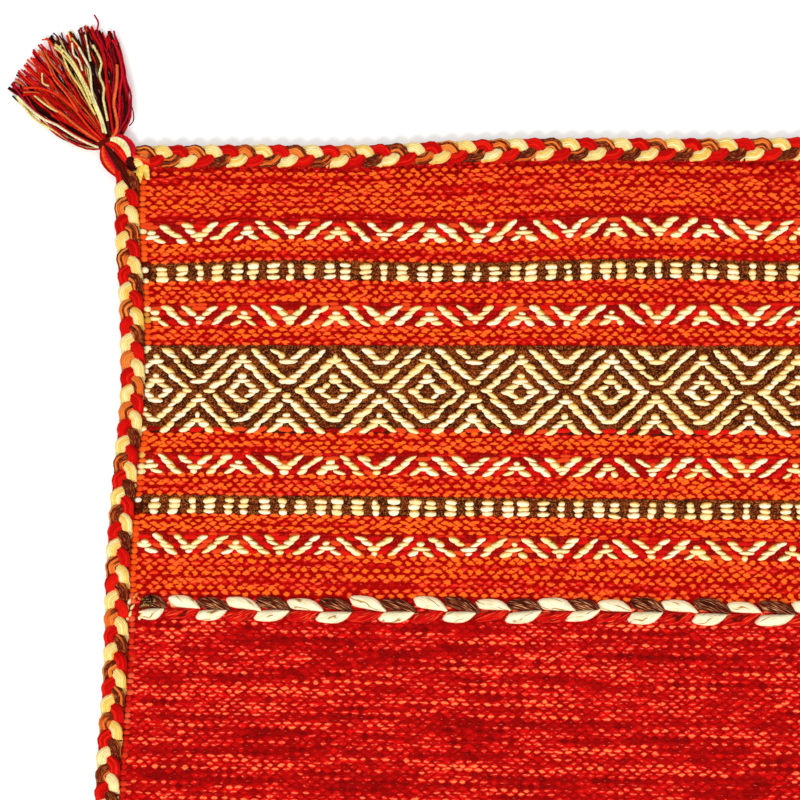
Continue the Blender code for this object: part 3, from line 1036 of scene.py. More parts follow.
# %% [markdown]
# ## Selvedges
#
# At each side the weft turns back round a thicker cord of warps. The turns show as one column of
# small round knobs: orange beside the ground, red beside the field, and here and there cream or
# brown beside the bands, where a pattern yarn turns back there too.

# %% Selvedge knobs
KNOB_PITCH = 2.85 * MM
KNOB_SIZE = (4.6 * MM, 3.5 * MM, 1.9 * MM)
KNOB_ORANGE = ("#FA5E16", "#F65412", "#FF6A1E", "#F04A10")
KNOB_RED = ("#D0140C", "#E03418", "#C00C08", "#F05A38")
CREAM_ENDS = ("#FFE9A8", "#F0B850", "#FFF4CC", "#D89A34")
CREAM_IN_STRIPES = 0.4
CREAM_IN_ZIGZAGS = 0.45


def band_at(from_end):
    """The kind of band at a distance from the rug's end."""
    for kind, row, count, at, pitch in rows:
        if from_end < at + pitch / 2:
            return kind
    return "field"


for side_name, side in SIDES:
    knobs = []
    for number in range(int(2 * HALF_LENGTH / KNOB_PITCH)):
        y = (number + 0.5) * KNOB_PITCH - HALF_LENGTH
        kind = band_at(HALF_LENGTH - abs(y))
        size = [s * chance.uniform(0.78, 1.25) for s in KNOB_SIZE]
        x = side * (HALF_WIDTH - KNOB_SIZE[0] / 2 - chance.uniform(-0.2, 0.5) * MM)
        if kind == "diamond":
            continue
        if kind in ("stripe", "brown line"):
            dyes = CREAM if chance.random() < CREAM_IN_STRIPES else BROWN
        elif kind == "zigzag" and chance.random() < CREAM_IN_ZIGZAGS:
            dyes = CREAM_ENDS
        else:
            dyes = KNOB_RED if kind == "field" else KNOB_ORANGE
        place = (x, y, CROWN_BASE - 0.3 * MM)
        knobs.append((*place, *size, chance.normal(0.0, 0.08), choose(dyes), choose(RED_RIM_SHADE)))
    lay_in(f"selvedge_{side_name}", knobs, plump_float, RED_WOOL)

# %% [markdown]
# ## Whipped edges
#
# The raw edge is whipped with red wool all round before the plait is sewn to it, so no floor shows
# between the cloth and the plait. Here and there a sewing stitch reaches up over the plait's lower
# edge and makes it ragged. Both are the same small float, set across the edge.

# %% Whip the edges
WHIP_PITCH = 2.7 * MM
WHIP_HEIGHT = 0.8 * MM
WHIP_OUT = 1.3  # how far its stitches' middles lie outside the edge, in mm
WHIP_LENGTH, WHIP_WIDTH, WHIP_RISE = (5.4, 6.2), 4.4, (2.5, 2.9)  # in mm
SEWING_HEIGHT = 2.9 * MM
SEWING_OUT = (0.2, 1.0)
SEWING_SIZE = ((2.4, 3.8), (1.1, 1.7), (1.5, 2.2))
END_WHIP = ("#B40604", "#C8100A", "#980402", "#D8240E")
SIDE_WHIP = ("#7A0604", "#560804", "#960804", "#400804")


def whipping(start, end, out, dyes):
    """Stitches across one edge, between two corners of the loom's rectangle."""
    found = []
    start, end, out = (np.array(v) for v in (start, end, out))
    count = int(np.linalg.norm(end - start) / WHIP_PITCH)
    across = math.atan2(out[1], out[0])
    for number in range(count):
        foot = start + (end - start) * (number + chance.uniform(0.3, 0.7)) / count
        place = (*(foot + out * WHIP_OUT * MM), WHIP_HEIGHT)
        size = (chance.uniform(*WHIP_LENGTH) * MM, WHIP_WIDTH * MM, chance.uniform(*WHIP_RISE) * MM)
        found.append((*place, *size, across + chance.normal(0.0, 0.15), choose(dyes), choose(RED_RIM_SHADE)))
        if number % 2:
            place = (*(foot + out * chance.uniform(*SEWING_OUT) * MM), SEWING_HEIGHT)
            size = [chance.uniform(*limits) * MM for limits in SEWING_SIZE]
            found.append((*place, *size, across + chance.normal(0.0, 0.4), choose(dyes), choose(RED_RIM_SHADE)))
    return found


W, H = HALF_WIDTH, HALF_LENGTH
whipped = whipping((W, H), (-W, H), (0, 1), END_WHIP) + whipping((-W, -H), (W, -H), (0, -1), END_WHIP)
whipped += whipping((-W, H), (-W, -H), (-1, 0), SIDE_WHIP) + whipping((W, -H), (W, H), (1, 0), SIDE_WHIP)
lay_in("whipped_edges", whipped, flat_float, RED_WOOL, "plaited_yarn")

# %% [markdown]
# ## Plaited edges
#
# A three-strand plait is a simple wave: each strand swings from side to side once per cycle and
# rises twice, a third of a cycle after the strand before it. The tree copies a path once for each
# strand, moves the copies by those waves, and sweeps a flattened yarn bundle along them.

# %% The plaiting tree
STEEPNESS = 0.2  # 0 swings like a sine wave, more crosses the plait's middle more steeply


def plaiting_tree():
    """Strands that swing and rise along a path. They keep their turn in the plait, their swing and
    their number as attributes, for the wool."""
    tree, node, given = new_tree("strands along a path", {
        "Strands": "Int", "Cycle": "Float", "Start": "Float", "Swing": "Float", "Lift": "Float",
        "Strand Width": "Float", "Strand Thickness": "Float", "Station Gap": "Float", "Sides": "Int",
        "Wool": "Material",
    })

    # A copy of the path for each strand, and how many cycles in each of its points is.
    path = node("GeometryNodeMeshToCurve", given["Geometry"])
    path = node("GeometryNodeResampleCurve", path, None, given["Station Gap"], mode="LENGTH")
    copies = node("GeometryNodeDuplicateElements", path, None, given["Strands"], domain="SPLINE")
    number = copies.outputs["Duplicate Index"]
    along = node("GeometryNodeSplineParameter").outputs["Length"]
    turns = node("Math", along, given["Cycle"], operation="DIVIDE")
    turns = node("Math", turns, node("Math", number, given["Strands"], operation="DIVIDE"), operation="ADD")
    turns = node("Math", turns, given["Start"], operation="ADD")
    facts = node(STORED, copies, None, "turns", turns, data_type="FLOAT")
    facts = node(STORED, facts, None, "strand", number, data_type="FLOAT")
    facts = node(STORED, facts, None, "heading", node("GeometryNodeInputTangent"), data_type="FLOAT_VECTOR")

    # The swing from side to side, and the lift over and under, twice as often.
    angle = node("Math", node(CARRIED, "turns"), math.tau, operation="MULTIPLY")
    swing = node("Math", angle, operation="SINE")
    steep = node("Math", node("Math", angle, 3.0, operation="MULTIPLY"), operation="SINE")
    swing = node("Math", steep, STEEPNESS, swing, operation="MULTIPLY_ADD")
    facts = node(STORED, facts, None, "swing", swing, data_type="FLOAT")
    lift = node("Math", node("Math", angle, 2.0, operation="MULTIPLY"), operation="SINE")
    lift = node("Math", lift, given["Lift"], operation="MULTIPLY")
    heading = node(CARRIED, "heading", data_type="FLOAT_VECTOR")
    across = node("VectorMath", heading, (0.0, 0.0, 1.0), operation="CROSS_PRODUCT")
    reach = node("Math", node(CARRIED, "swing"), given["Swing"], operation="MULTIPLY")
    sideways = node("VectorMath", across, reach, operation="SCALE")
    step = node("VectorMath", sideways, node("CombineXYZ", {"Z": lift}), operation="ADD")
    strands = node("GeometryNodeSetPosition", {"Geometry": facts, "Offset": step})
    strands = node("GeometryNodeSetCurveNormal", strands, mode="Z_UP")

    # A flattened ring swept along them. Around says how far round the strand a point is.
    ring = node("GeometryNodeCurvePrimitiveCircle", given["Sides"], 0.5)
    around = node("GeometryNodeSplineParameter").outputs["Factor"]
    ring = node(STORED, ring, None, "around", around, data_type="FLOAT")
    flattened = node("CombineXYZ", given["Strand Thickness"], given["Strand Width"], 1.0)
    ring = node("GeometryNodeTransform", ring, None, (0.0, 0.0, math.pi / 2), flattened)
    tubes = node("GeometryNodeCurveToMesh", {"Curve": strands, "Profile Curve": ring, "Fill Caps": True})
    return end_tree(tree, tubes, given["Wool"])


PLAIT_TREE = plaiting_tree()

# %% Strand wool
YARNS_PER_STRAND = 14
HAIRS_AROUND = 40.0
HAIRS_PER_CYCLE = 14.0
TAN_HAIRS = 0.5
PLAIT_DYES = (
    ((0.0, "#FFC850"), (0.35, "#FFDE82"), (1.0, "#FFF0B0")),
    ((0.0, "#B80604"), (0.5, "#DA0C08"), (1.0, "#F0200E")),
    ((0.0, "#58140A"), (0.5, "#6E1C0C"), (0.58, "#A23C14"), (0.63, "#F06820"), (1.0, "#FA8A38")),
)


def strand_switches(node, strand):
    """1 where a strand isn't the cream one, and 1 where it is the brown one."""
    return [node("Math", strand, number, operation="GREATER_THAN") for number in (0.5, 1.5)]


def of_strand(node, switches, *dyes):
    """The dye of the cream, the red or the brown strand. If two are given, brown is as red."""
    dye = dyes[0]
    for switch, other in zip(switches, dyes[1:]):
        dye = node("Mix", switch, dye, other, data_type="RGBA")
    return dye


def from_middle(node, value):
    """How far a value is from a half."""
    return node("Math", node("Math", value, 0.5, operation="SUBTRACT"), operation="ABSOLUTE")


def strand_wool():
    """Bundles of yarns laid side by side: cream, red, and brown with orange. Lines between the
    yarns and the strands' sides are painted darker as shade, and the third bundle turns its orange
    yarns up towards the outside."""
    material, node = new_material("bundled plaiting wool")
    facts = ("strand", "around", "swing", "turns")
    strand, around, swing, turns = (node("Attribute", attribute_name=fact).outputs["Fac"] for fact in facts)

    # Which yarn of the bundle a place is on, and how near its ridge.
    way = node("CombineXYZ", around, turns, strand)
    wavy = node("Math", node("TexNoise", way, 3.0, 1.0), 0.9, operation="MULTIPLY")
    count = node("Math", around, YARNS_PER_STRAND, wavy, operation="MULTIPLY_ADD")
    number = node("Math", count, operation="FLOOR")
    beside = from_middle(node, node("Math", count, operation="FRACT"))
    ridge = node("MapRange", beside, 0.5, 0.2, interpolation_type="SMOOTHSTEP")
    own_yarn = node("CombineXYZ", number, node("Math", turns, operation="FLOOR"), strand)
    yarn_chance = node("TexWhiteNoise", own_yarn).outputs["Value"]

    # The yarn's own dye on top, and painted shade on the sides and in the lines between yarns.
    outward = node("Math", swing, 0.28, yarn_chance, operation="MULTIPLY_ADD")
    shares = (yarn_chance, yarn_chance, outward)
    switches = strand_switches(node, strand)
    own = [node("ValToRGB", share, dyes=dyes) for share, dyes in zip(shares, PLAIT_DYES)]
    own = of_strand(node, switches, *own)
    deep_shade = of_strand(node, switches, "#C4841E", "#7C0604", "#340A04")
    on_top = node("MapRange", from_middle(node, around), 0.26, 0.18, interpolation_type="SMOOTHSTEP")
    line = node("MapRange", ridge, 0.0, 1.0, 0.62, 1.0)
    shown = node("Math", on_top, line, operation="MULTIPLY")
    colour = node("Mix", shown, deep_shade, own, data_type="RGBA")

    # Fine hairs along the yarns, tan ones in the brown.
    hairs = node("Mapping", {"Vector": way, "Scale": (HAIRS_AROUND, HAIRS_PER_CYCLE, 1.0)})
    hairs = node("TexNoise", hairs, 1.0, 2.0)
    shade = node("MapRange", hairs, *NOISE, 0.74, 1.18)
    tan = node("MapRange", hairs, 0.56, 0.62, 0.0, TAN_HAIRS)
    tan = node("Math", tan, switches[1], operation="MULTIPLY")
    mixed = node("Mix", tan, colour, "#C87838", data_type="RGBA")
    return finish_wool(material, node("VectorMath", mixed, shade, operation="SCALE"), ridge)


# Smooth combed yarns, laid side by side without a twist. The eye sees fine lines of painted shade
# that follow each strand round, each strand lighter on top and painted dark as shade where strands
# dive under each other.
STRAND_WOOL = strand_wool()
print("strand wool:", len(STRAND_WOOL.node_tree.nodes), "nodes")

# %% Plait the four edges
EDGE_MIDDLE_HEIGHT = 3.75 * MM
EDGE_STATIONS = 89
INNER_CREAM = 0.625  # how far into its cycle the cream strand is when it reaches in
PLAIT = {
    "Strands": 3, "Lift": 1.9 * MM, "Strand Thickness": 3.2 * MM, "Station Gap": 1.3 * MM, "Sides": 10,
    "Wool": STRAND_WOOL,
}
# In mm: the length cut off a plait's ends, its cycle, how far its middle is from the cloth's edge,
# its swing and its strands' width.
END_PLAIT = (-1.0, 25.8, 5.5, 3.7, 5.4)
SIDE_PLAIT = (1.5, 26.1, 5.0, 4.1, 5.8)
# Each runs on from the one before it round the rug, with the cloth on its left: name, node, start
# corner, end corner, where along it one cream turn reaches in, in mm from its start or, if it is
# negative, from its end, and its sizes.
EDGES = (
    ("plait_far", "end_braid_far", (W, H), (-W, H), -27.4, END_PLAIT),
    ("plait_left", "side_braid_left", (-W, H), (-W, -H), 22.9, SIDE_PLAIT),
    ("plait_near", "end_braid_near", (-W, -H), (W, -H), 20.0, END_PLAIT),
    ("plait_right", "side_braid_right", (W, -H), (W, H), 17.0, SIDE_PLAIT),
)


def headings(path):
    """Which way a path of x and y runs at each of its points."""
    heading = np.gradient(path, axis=0)
    return heading / np.linalg.norm(heading, axis=1)[:, None]


def edge_path(start, end, margin, offset):
    """A path beside one edge of the cloth, between two corners of the loom's rectangle."""
    share = np.linspace(0.0, 1.0, EDGE_STATIONS)[:, None]
    flat = np.array(start) * (1 - share) + np.array(end) * share
    places = on_cloth(np.column_stack((flat, 0 * share)))
    heading = headings(places[:, :2])
    places[:, 0] += heading[:, 1] * offset
    places[:, 1] -= heading[:, 0] * offset
    for tip, inner in ((0, 1), (-1, -2)):
        inward = places[inner] - places[tip]
        places[tip] += inward / np.linalg.norm(inward) * margin
    places[:, 2] = EDGE_MIDDLE_HEIGHT
    return places


for name, node, start, end, cream_at, (margin, cycle, offset, swing, width) in EDGES:
    places = edge_path(start, end, margin * MM, offset * MM)
    length = np.linalg.norm(np.diff(places, axis=0), axis=1).sum() / MM
    where = cream_at if cream_at > 0 else length + cream_at
    line = points_with(name, places, [(i, i + 1) for i in range(len(places) - 1)])
    mesh = grow(name, line, PLAIT_TREE, {
        **PLAIT, "Cycle": cycle * MM, "Start": INNER_CREAM - where / cycle, "Swing": swing * MM,
        "Strand Width": width * MM,
    })
    add_piece(name, mesh, "plaited_yarn", node)
    print(name, "is", round(length), "mm long")

# %% [markdown]
# ## Twined trim braids
#
# The trim is twined through the cloth: pairs of bundles cross on its face, dive into it, and come up
# again, so only short plump leaves show, in two rows that lean against each other. Each leaf is flat
# along the middle of the trim and bulges outwards. One leaf shape for each row, set on points, is
# closer to that than strands that run on.

# %% Leaf shapes for the trim
LEAF_SIDES = 11
# Place along the leaf, its inner edge and its outer edge, in parts of its length and width.
LEAF_RINGS = (
    (-0.43, 0.30, 0.80), (-0.36, 0.06, 0.88), (-0.22, 0.00, 0.96), (-0.05, 0.00, 1.00),
    (0.10, 0.00, 0.98), (0.24, 0.00, 0.84), (0.36, 0.01, 0.60), (0.45, 0.04, 0.34),
)
LEAF_TIPS = ((-0.5, 0.60), (0.5, 0.12))
LEAF_SLANT = 0.6  # widths that its yarns drift over its length
ARC_START = 0.28  # the leaf's arc, as a part of the whole way round a strand
ARC = 0.44


def leaf(name, way):
    """A bundle, one unit long, wide and high, flat underneath, that bulges to one side. It carries
    how far around it and along it a point lies, and across counts its yarns, which lie at a slant
    from its outer edge down to the trim's middle."""
    points, around, along_it = [(LEAF_TIPS[0][0], way * LEAF_TIPS[0][1], 0.0)], [0.5], [0.0]
    for along, inner, outer in LEAF_RINGS:
        for side in range(LEAF_SIDES):
            lean = math.pi * side / (LEAF_SIDES - 1)
            middle, half = (inner + outer) / 2, (outer - inner) / 2
            # Full and blunt across, and higher towards the tip that lies on top.
            rise = (2 * half) ** 0.6 * math.sin(lean) ** 0.7 * (1.0 + 0.5 * along)
            points.append((along, way * (middle + half * math.cos(lean)), rise))
            around.append(ARC_START + ARC * side / (LEAF_SIDES - 1))
            along_it.append(along + 0.5)
    points.append((LEAF_TIPS[1][0], way * LEAF_TIPS[1][1], 0.5))
    facts = {"around": around + [0.5], "along": along_it + [1.0]}
    facts["across"] = [(a - ARC_START) / ARC - LEAF_SLANT * b for a, b in zip(*facts.values())]
    return yarn_shape(name, points, ring_faces(len(LEAF_RINGS), LEAF_SIDES), facts)


outer_leaf = leaf("outer leaf", 1.0)
inner_leaf = leaf("inner leaf", -1.0)
print("a leaf has", len(outer_leaf.data.polygons), "faces")

# %% Leaf wool
YARNS_PER_LEAF = 1.8
LEAF_APART = 19.0  # moves the pattern on from leaf to leaf
LEAF_HAIRS = (22.0, 3.2, 1.0)
LEAF_DYES = (
    ((0.3, "#F6D488"), (0.45, "#FFF2C8"), (1.0, "#FFFBE4")),
    ((0.34, "#A40404"), (0.48, "#CC0A08"), (0.6, "#DC1A10"), (0.67, "#FC6834")),
    ((0.42, "#300A04"), (0.52, "#5E1E10"), (0.59, "#94502C"), (0.66, "#DCA070")),
)


def leaf_wool():
    """Bundles of a few thick yarns in near-white cream, dark brown and red, with painted shade at their
    rim. In places the yarns part and a slit painted dark as shade shows. Hairs of a lighter dye lie
    along the brown and the red ones."""
    material, node = new_material("twined trim wool")
    facts = ("strand", "around", "along", "across")
    strand, around, along, across = (node("Attribute", attribute_name=fact).outputs["Fac"] for fact in facts)

    # The slits between yarns, which close again where a noise says so.
    own_leaf = node("Math", strand, LEAF_APART, operation="MULTIPLY")
    way = node("CombineXYZ", across, along, own_leaf)
    shifted = node("Math", node("TexNoise", way, 1.6, 2.0), 2.2, own_leaf, operation="MULTIPLY_ADD")
    count = node("Math", across, YARNS_PER_LEAF, shifted, operation="MULTIPLY_ADD")
    beside_slit = from_middle(node, node("Math", count, operation="FRACT"))
    ridge = node("MapRange", beside_slit, 0.5, 0.34, interpolation_type="SMOOTHSTEP")
    parted = node("Mapping", {"Vector": way, "Location": (5.3, 2.1, 0.0)})
    parted = node("MapRange", node("TexNoise", parted, 2.4, 1.0), 0.48, 0.56)
    closed = node("Math", 1.0, parted, operation="SUBTRACT")
    whole = node("Math", ridge, closed, operation="MAXIMUM")

    # Its own dye on top, painted shade at its rim and darker painted shade in its slits.
    hairs = node("TexNoise", node("Mapping", {"Vector": way, "Scale": LEAF_HAIRS}), 1.0, 2.0)
    switches = strand_switches(node, strand)
    own = of_strand(node, switches, *[node("ValToRGB", hairs, dyes=dyes) for dyes in LEAF_DYES])
    deep_shade = of_strand(node, switches, "#C88C28", "#6E0604")
    on_top = node("MapRange", from_middle(node, around), 0.24, 0.17, interpolation_type="SMOOTHSTEP")
    rimmed = node("Mix", on_top, deep_shade, own, data_type="RGBA")
    slit_shade = of_strand(node, switches, "#A8761C", "#5A0804")
    colour = node("Mix", whole, slit_shade, rimmed, data_type="RGBA")
    shade = node("MapRange", hairs, *NOISE, 0.86, 1.08)
    return finish_wool(material, node("VectorMath", colour, shade, operation="SCALE"), whole)


# Thick, hardly spun yarn. The eye sees plump pale or dark leaves with a soft rim of painted shade,
# parted here and there by a slit of painted shade.
LEAF_WOOL = leaf_wool()
print("leaf wool:", len(LEAF_WOOL.node_tree.nodes), "nodes")

# %% Twine the trim braids
TRIM_LINE = HALF_LENGTH - BORDER_LENGTH - TRIM_WIDTH / 2 - 0.1 * MM
TRIM_BASE = CLOTH_TOP - 0.2 * MM
LEAF_PITCH = 31.4 * MM / 2
LEAF_SIZE = (18.6 * MM, 6.0 * MM, 3.6 * MM)
LEAF_LEAN = 0.09
END_LEAVES = 20 * MM  # leaves this near a selvedge are shorter
END_LEAF = 0.75
CLEAR_OF_SELVEDGE = 6 * MM
SLIP = 3.0 * MM  # the leaves past SLIP_AT lie this much nearer to the start
SLIP_AT = 215 * MM
SLIP_REACH = 25 * MM
STRAND_UNEVEN = 0.3  # no leaf looks quite like another one of its dye
LEAF_WANDER = 0.25  # how far a leaf strays from its row, in mm
# The trim's line wanders. Distance along it, and how far it steps towards the rug's end, in metres.
TRIM_RISE = (
    (0.000, -0.0006), (0.060, -0.0007), (0.130, -0.0003), (0.180, 0.0002), (0.220, 0.0011),
    (0.340, 0.0012), (0.460, 0.0000), (0.575, -0.0004),
)
STRAND_CREAM, STRAND_RED, STRAND_BROWN = 0, 1, 2
# A trim's rows: name, side of the trim's line, where its first cream leaf is, what dye lies between
# its cream leaves, and the shape of a leaf.
TRIM_ROWS = (
    ("outer", 1.0, 29.7 * MM, STRAND_BROWN, outer_leaf),
    ("inner", -1.0, 44.5 * MM, STRAND_RED, inner_leaf),
)


def leaves_along(row_side, cream_at, other):
    """Leaves of one row of a trim, from the far left selvedge: place, size, turn and strand."""
    found = []
    first = int((cream_at - CLEAR_OF_SELVEDGE) / LEAF_PITCH)
    for number in range(-first, int(2 * HALF_WIDTH / LEAF_PITCH) - first):
        at = cream_at + number * LEAF_PITCH
        at -= SLIP * smooth_step((at - SLIP_AT) / SLIP_REACH)
        if at > 2 * HALF_WIDTH - CLEAR_OF_SELVEDGE:
            continue
        strand = STRAND_CREAM if number % 2 == 0 else other
        strand += chance.uniform(-STRAND_UNEVEN, STRAND_UNEVEN)
        length, width, height = (s * chance.uniform(0.92, 1.08) for s in LEAF_SIZE)
        if at < END_LEAVES or at > 2 * HALF_WIDTH - END_LEAVES:
            length *= END_LEAF
        turn = chance.normal(-LEAF_LEAN * row_side, 0.04)
        wander = chance.normal(0.0, LEAF_WANDER) * MM + smooth_value(TRIM_RISE, np.array([at]))[0]
        place = (at - HALF_WIDTH, TRIM_LINE + row_side * 0.1 * MM + wander, TRIM_BASE)
        found.append((*place, length, width, height, turn, strand))
    return found


def turned_about(leaves):
    """The same leaves for the near end, turned half round about the rug's middle."""
    return [(-x, -y, z, *size, turn + math.pi, strand) for x, y, z, *size, turn, strand in leaves]


for end_name, _ in ENDS:
    for row_name, row_side, cream_at, other, shape in TRIM_ROWS:
        leaves = leaves_along(row_side, cream_at, other)
        if end_name == "near":
            leaves = turned_about(leaves)
        nodes = [f"trim_braid_{end_name}"] if row_name == "outer" else []
        name = f"trim_{end_name}_{row_name}"
        lay_in(name, leaves, shape, LEAF_WOOL, "twined_yarn", nodes, ["strand"])

# %% Tuck in the trims' ends
# At each end of a trim its last yarns are knotted and their tips are left as fluff. From the far
# left selvedge, in mm: along the trim, across it towards the rug's end, length, width, and turn.
TRIM_END = {
    "knot": ((12.6, 2.6, 11.0, 7.0, 0.1), (9.0, 1.4, 7.0, 4.0, 0.7), (15.5, 3.2, 7.5, 3.4, -0.5)),
    "fluff": (
        (7.6, -4.4, 4.6, 2.2, 1.2), (9.6, -3.6, 5.0, 2.2, 0.9), (11.4, -4.6, 4.4, 2.0, 1.4),
        (13.4, -3.6, 5.2, 2.2, 1.0), (15.2, -4.2, 4.2, 2.0, 0.6), (17.0, -3.2, 3.8, 1.8, 0.2),
        (8.6, -2.4, 6.4, 2.2, 0.2), (13.0, -2.2, 6.4, 2.0, 0.1), (6.4, -5.8, 2.8, 1.6, 1.5),
        (1.0, 2.2, 4.4, 2.4, 1.2), (-0.2, -1.2, 4.6, 2.6, 1.6), (1.6, -3.8, 4.2, 2.4, 1.2),
        (0.2, -6.4, 3.6, 2.2, 1.5), (2.6, -0.4, 4.0, 2.0, 1.0),
    ),
    "loop": ((4.0, 5.4, 5.0, 2.2, 0.9), (6.2, 4.2, 4.0, 2.0, -0.6), (3.2, 3.4, 4.0, 1.8, 1.4)),
}
# Of each kind: its height in mm, its dyes and the painted shade of its rim.
END_YARNS = {
    "knot": (4.2, ("#4A1408", "#5C1C0A", "#38100A"), ("#240804",)),
    "fluff": (2.6, ("#FFF2C0", "#FFE498", "#FFF8DC"), ("#B06A18", "#8A4A10")),
    "loop": (2.2, ("#F26420", "#E8501C"), ("#A82808",)),
}


def trim_end(side, end):
    found = []
    for kind, tips in TRIM_END.items():
        height, dyes, rims = END_YARNS[kind]
        for along, across, length, width, turn in tips:
            place = (side * (HALF_WIDTH - along * MM), end * (TRIM_LINE + across * MM), TRIM_BASE)
            size = (length * MM, width * MM, height * MM)
            found.append((*place, *size, -side * end * turn, choose(dyes), choose(rims)))
    return found


for end_name, end in ENDS:
    tips = trim_end(-1.0, end) + trim_end(1.0, end)
    lay_in(f"trim_tips_{end_name}", tips, plump_float, CREAM_WOOL, "twined_yarn")

# %% [markdown]
# ## Tassels
#
# At each corner the plaiting yarns run out through a short neck of bundles, are bound with a dark
# yarn, and fan out as a tassel. Every yarn is its own curve. A few that lie on top follow the ones
# that are easy to tell apart in the photograph, and the rest fill the fan under them.


# %% The yarn tree
def yarn_tree():
    """A round yarn along each line, with its length so far and its way round as attributes."""
    tree, node, given = new_tree("loose yarns", {"Stations": "Int", "Sides": "Int", "Wool": "Material"})
    lines = node("GeometryNodeMeshToCurve", given["Geometry"])
    lines = node("GeometryNodeResampleCurve", lines, None, given["Stations"], mode="COUNT")
    along = node("GeometryNodeSplineParameter").outputs["Length"]
    lines = node(STORED, lines, None, "along", along, data_type="FLOAT")
    ring = node("GeometryNodeCurvePrimitiveCircle", given["Sides"], 1.0)
    around = node("GeometryNodeSplineParameter").outputs["Factor"]
    ring = node(STORED, ring, None, "around", around, data_type="FLOAT")
    tubes = node("GeometryNodeCurveToMesh", lines, ring, node(CARRIED, "radius"), True)
    return end_tree(tree, tubes, given["Wool"])


YARN_TREE = yarn_tree()

# %% Loose yarn wool
TWIST_PITCH = 2.2 * MM
SPOTS = 260.0  # per metre: shades change over about 4 mm of yarn


def loose_wool():
    """Two-ply yarn: its plies show as slanted lines of painted shade, in the grooves between them, that wind
    round it.
    """
    material, node = new_material("loose two-ply wool")
    own = node("Attribute", attribute_name="dye").outputs["Color"]
    along, around = (node("Attribute", attribute_name=fact).outputs["Fac"] for fact in ("along", "around"))
    wound = node("Math", along, 1.0 / TWIST_PITCH, around, operation="MULTIPLY_ADD")
    wave = node("Math", node("Math", wound, math.tau, operation="MULTIPLY"), operation="SINE")
    ply = node("MapRange", wave, -1.0, 0.2)
    spots = node("TexNoise", node("TexCoord").outputs["Object"], SPOTS, 2.0)
    shade = node("MapRange", spots, *NOISE, 0.72, 1.12)
    # Painted shade: the colour is darker in the grooves between the plies.
    line = node("MapRange", ply, 0.0, 1.0, 0.78, 1.0)
    shade = node("Math", shade, line, operation="MULTIPLY")
    return finish_wool(material, node("VectorMath", own, shade, operation="SCALE"), ply)


# Firm two-ply yarn, cut to length. The eye sees single threads with a slanting twist, in many
# shades, and dark gaps between them.
LOOSE_WOOL = loose_wool()

# %% Dyes and sizes of a tassel
SKIRT_BASE = np.array((-14.5, 14.5))
SKIRT_AXIS = math.radians(120)
AXIS = np.array((math.cos(SKIRT_AXIS), math.sin(SKIRT_AXIS)))
RIGHT_OF_AXIS = np.array((AXIS[1], -AXIS[0]))
FILL_YARNS = 150
CRIMSON = ("#D80E20", "#C60A1C", "#E61626", "#C00C2E")
REDS = ("#F01A12", "#DE0E0E", "#FA3A18", "#C60A0A")
DARKS = ("#460A06", "#300604", "#680F08", "#521608")
ORANGES = ("#FA6C30", "#F05424")
CREAMS = ("#FFEC98", "#FFF4C0", "#FFE27C")
GOLDS = ("#FFD860", "#FFE488", "#F8C448")

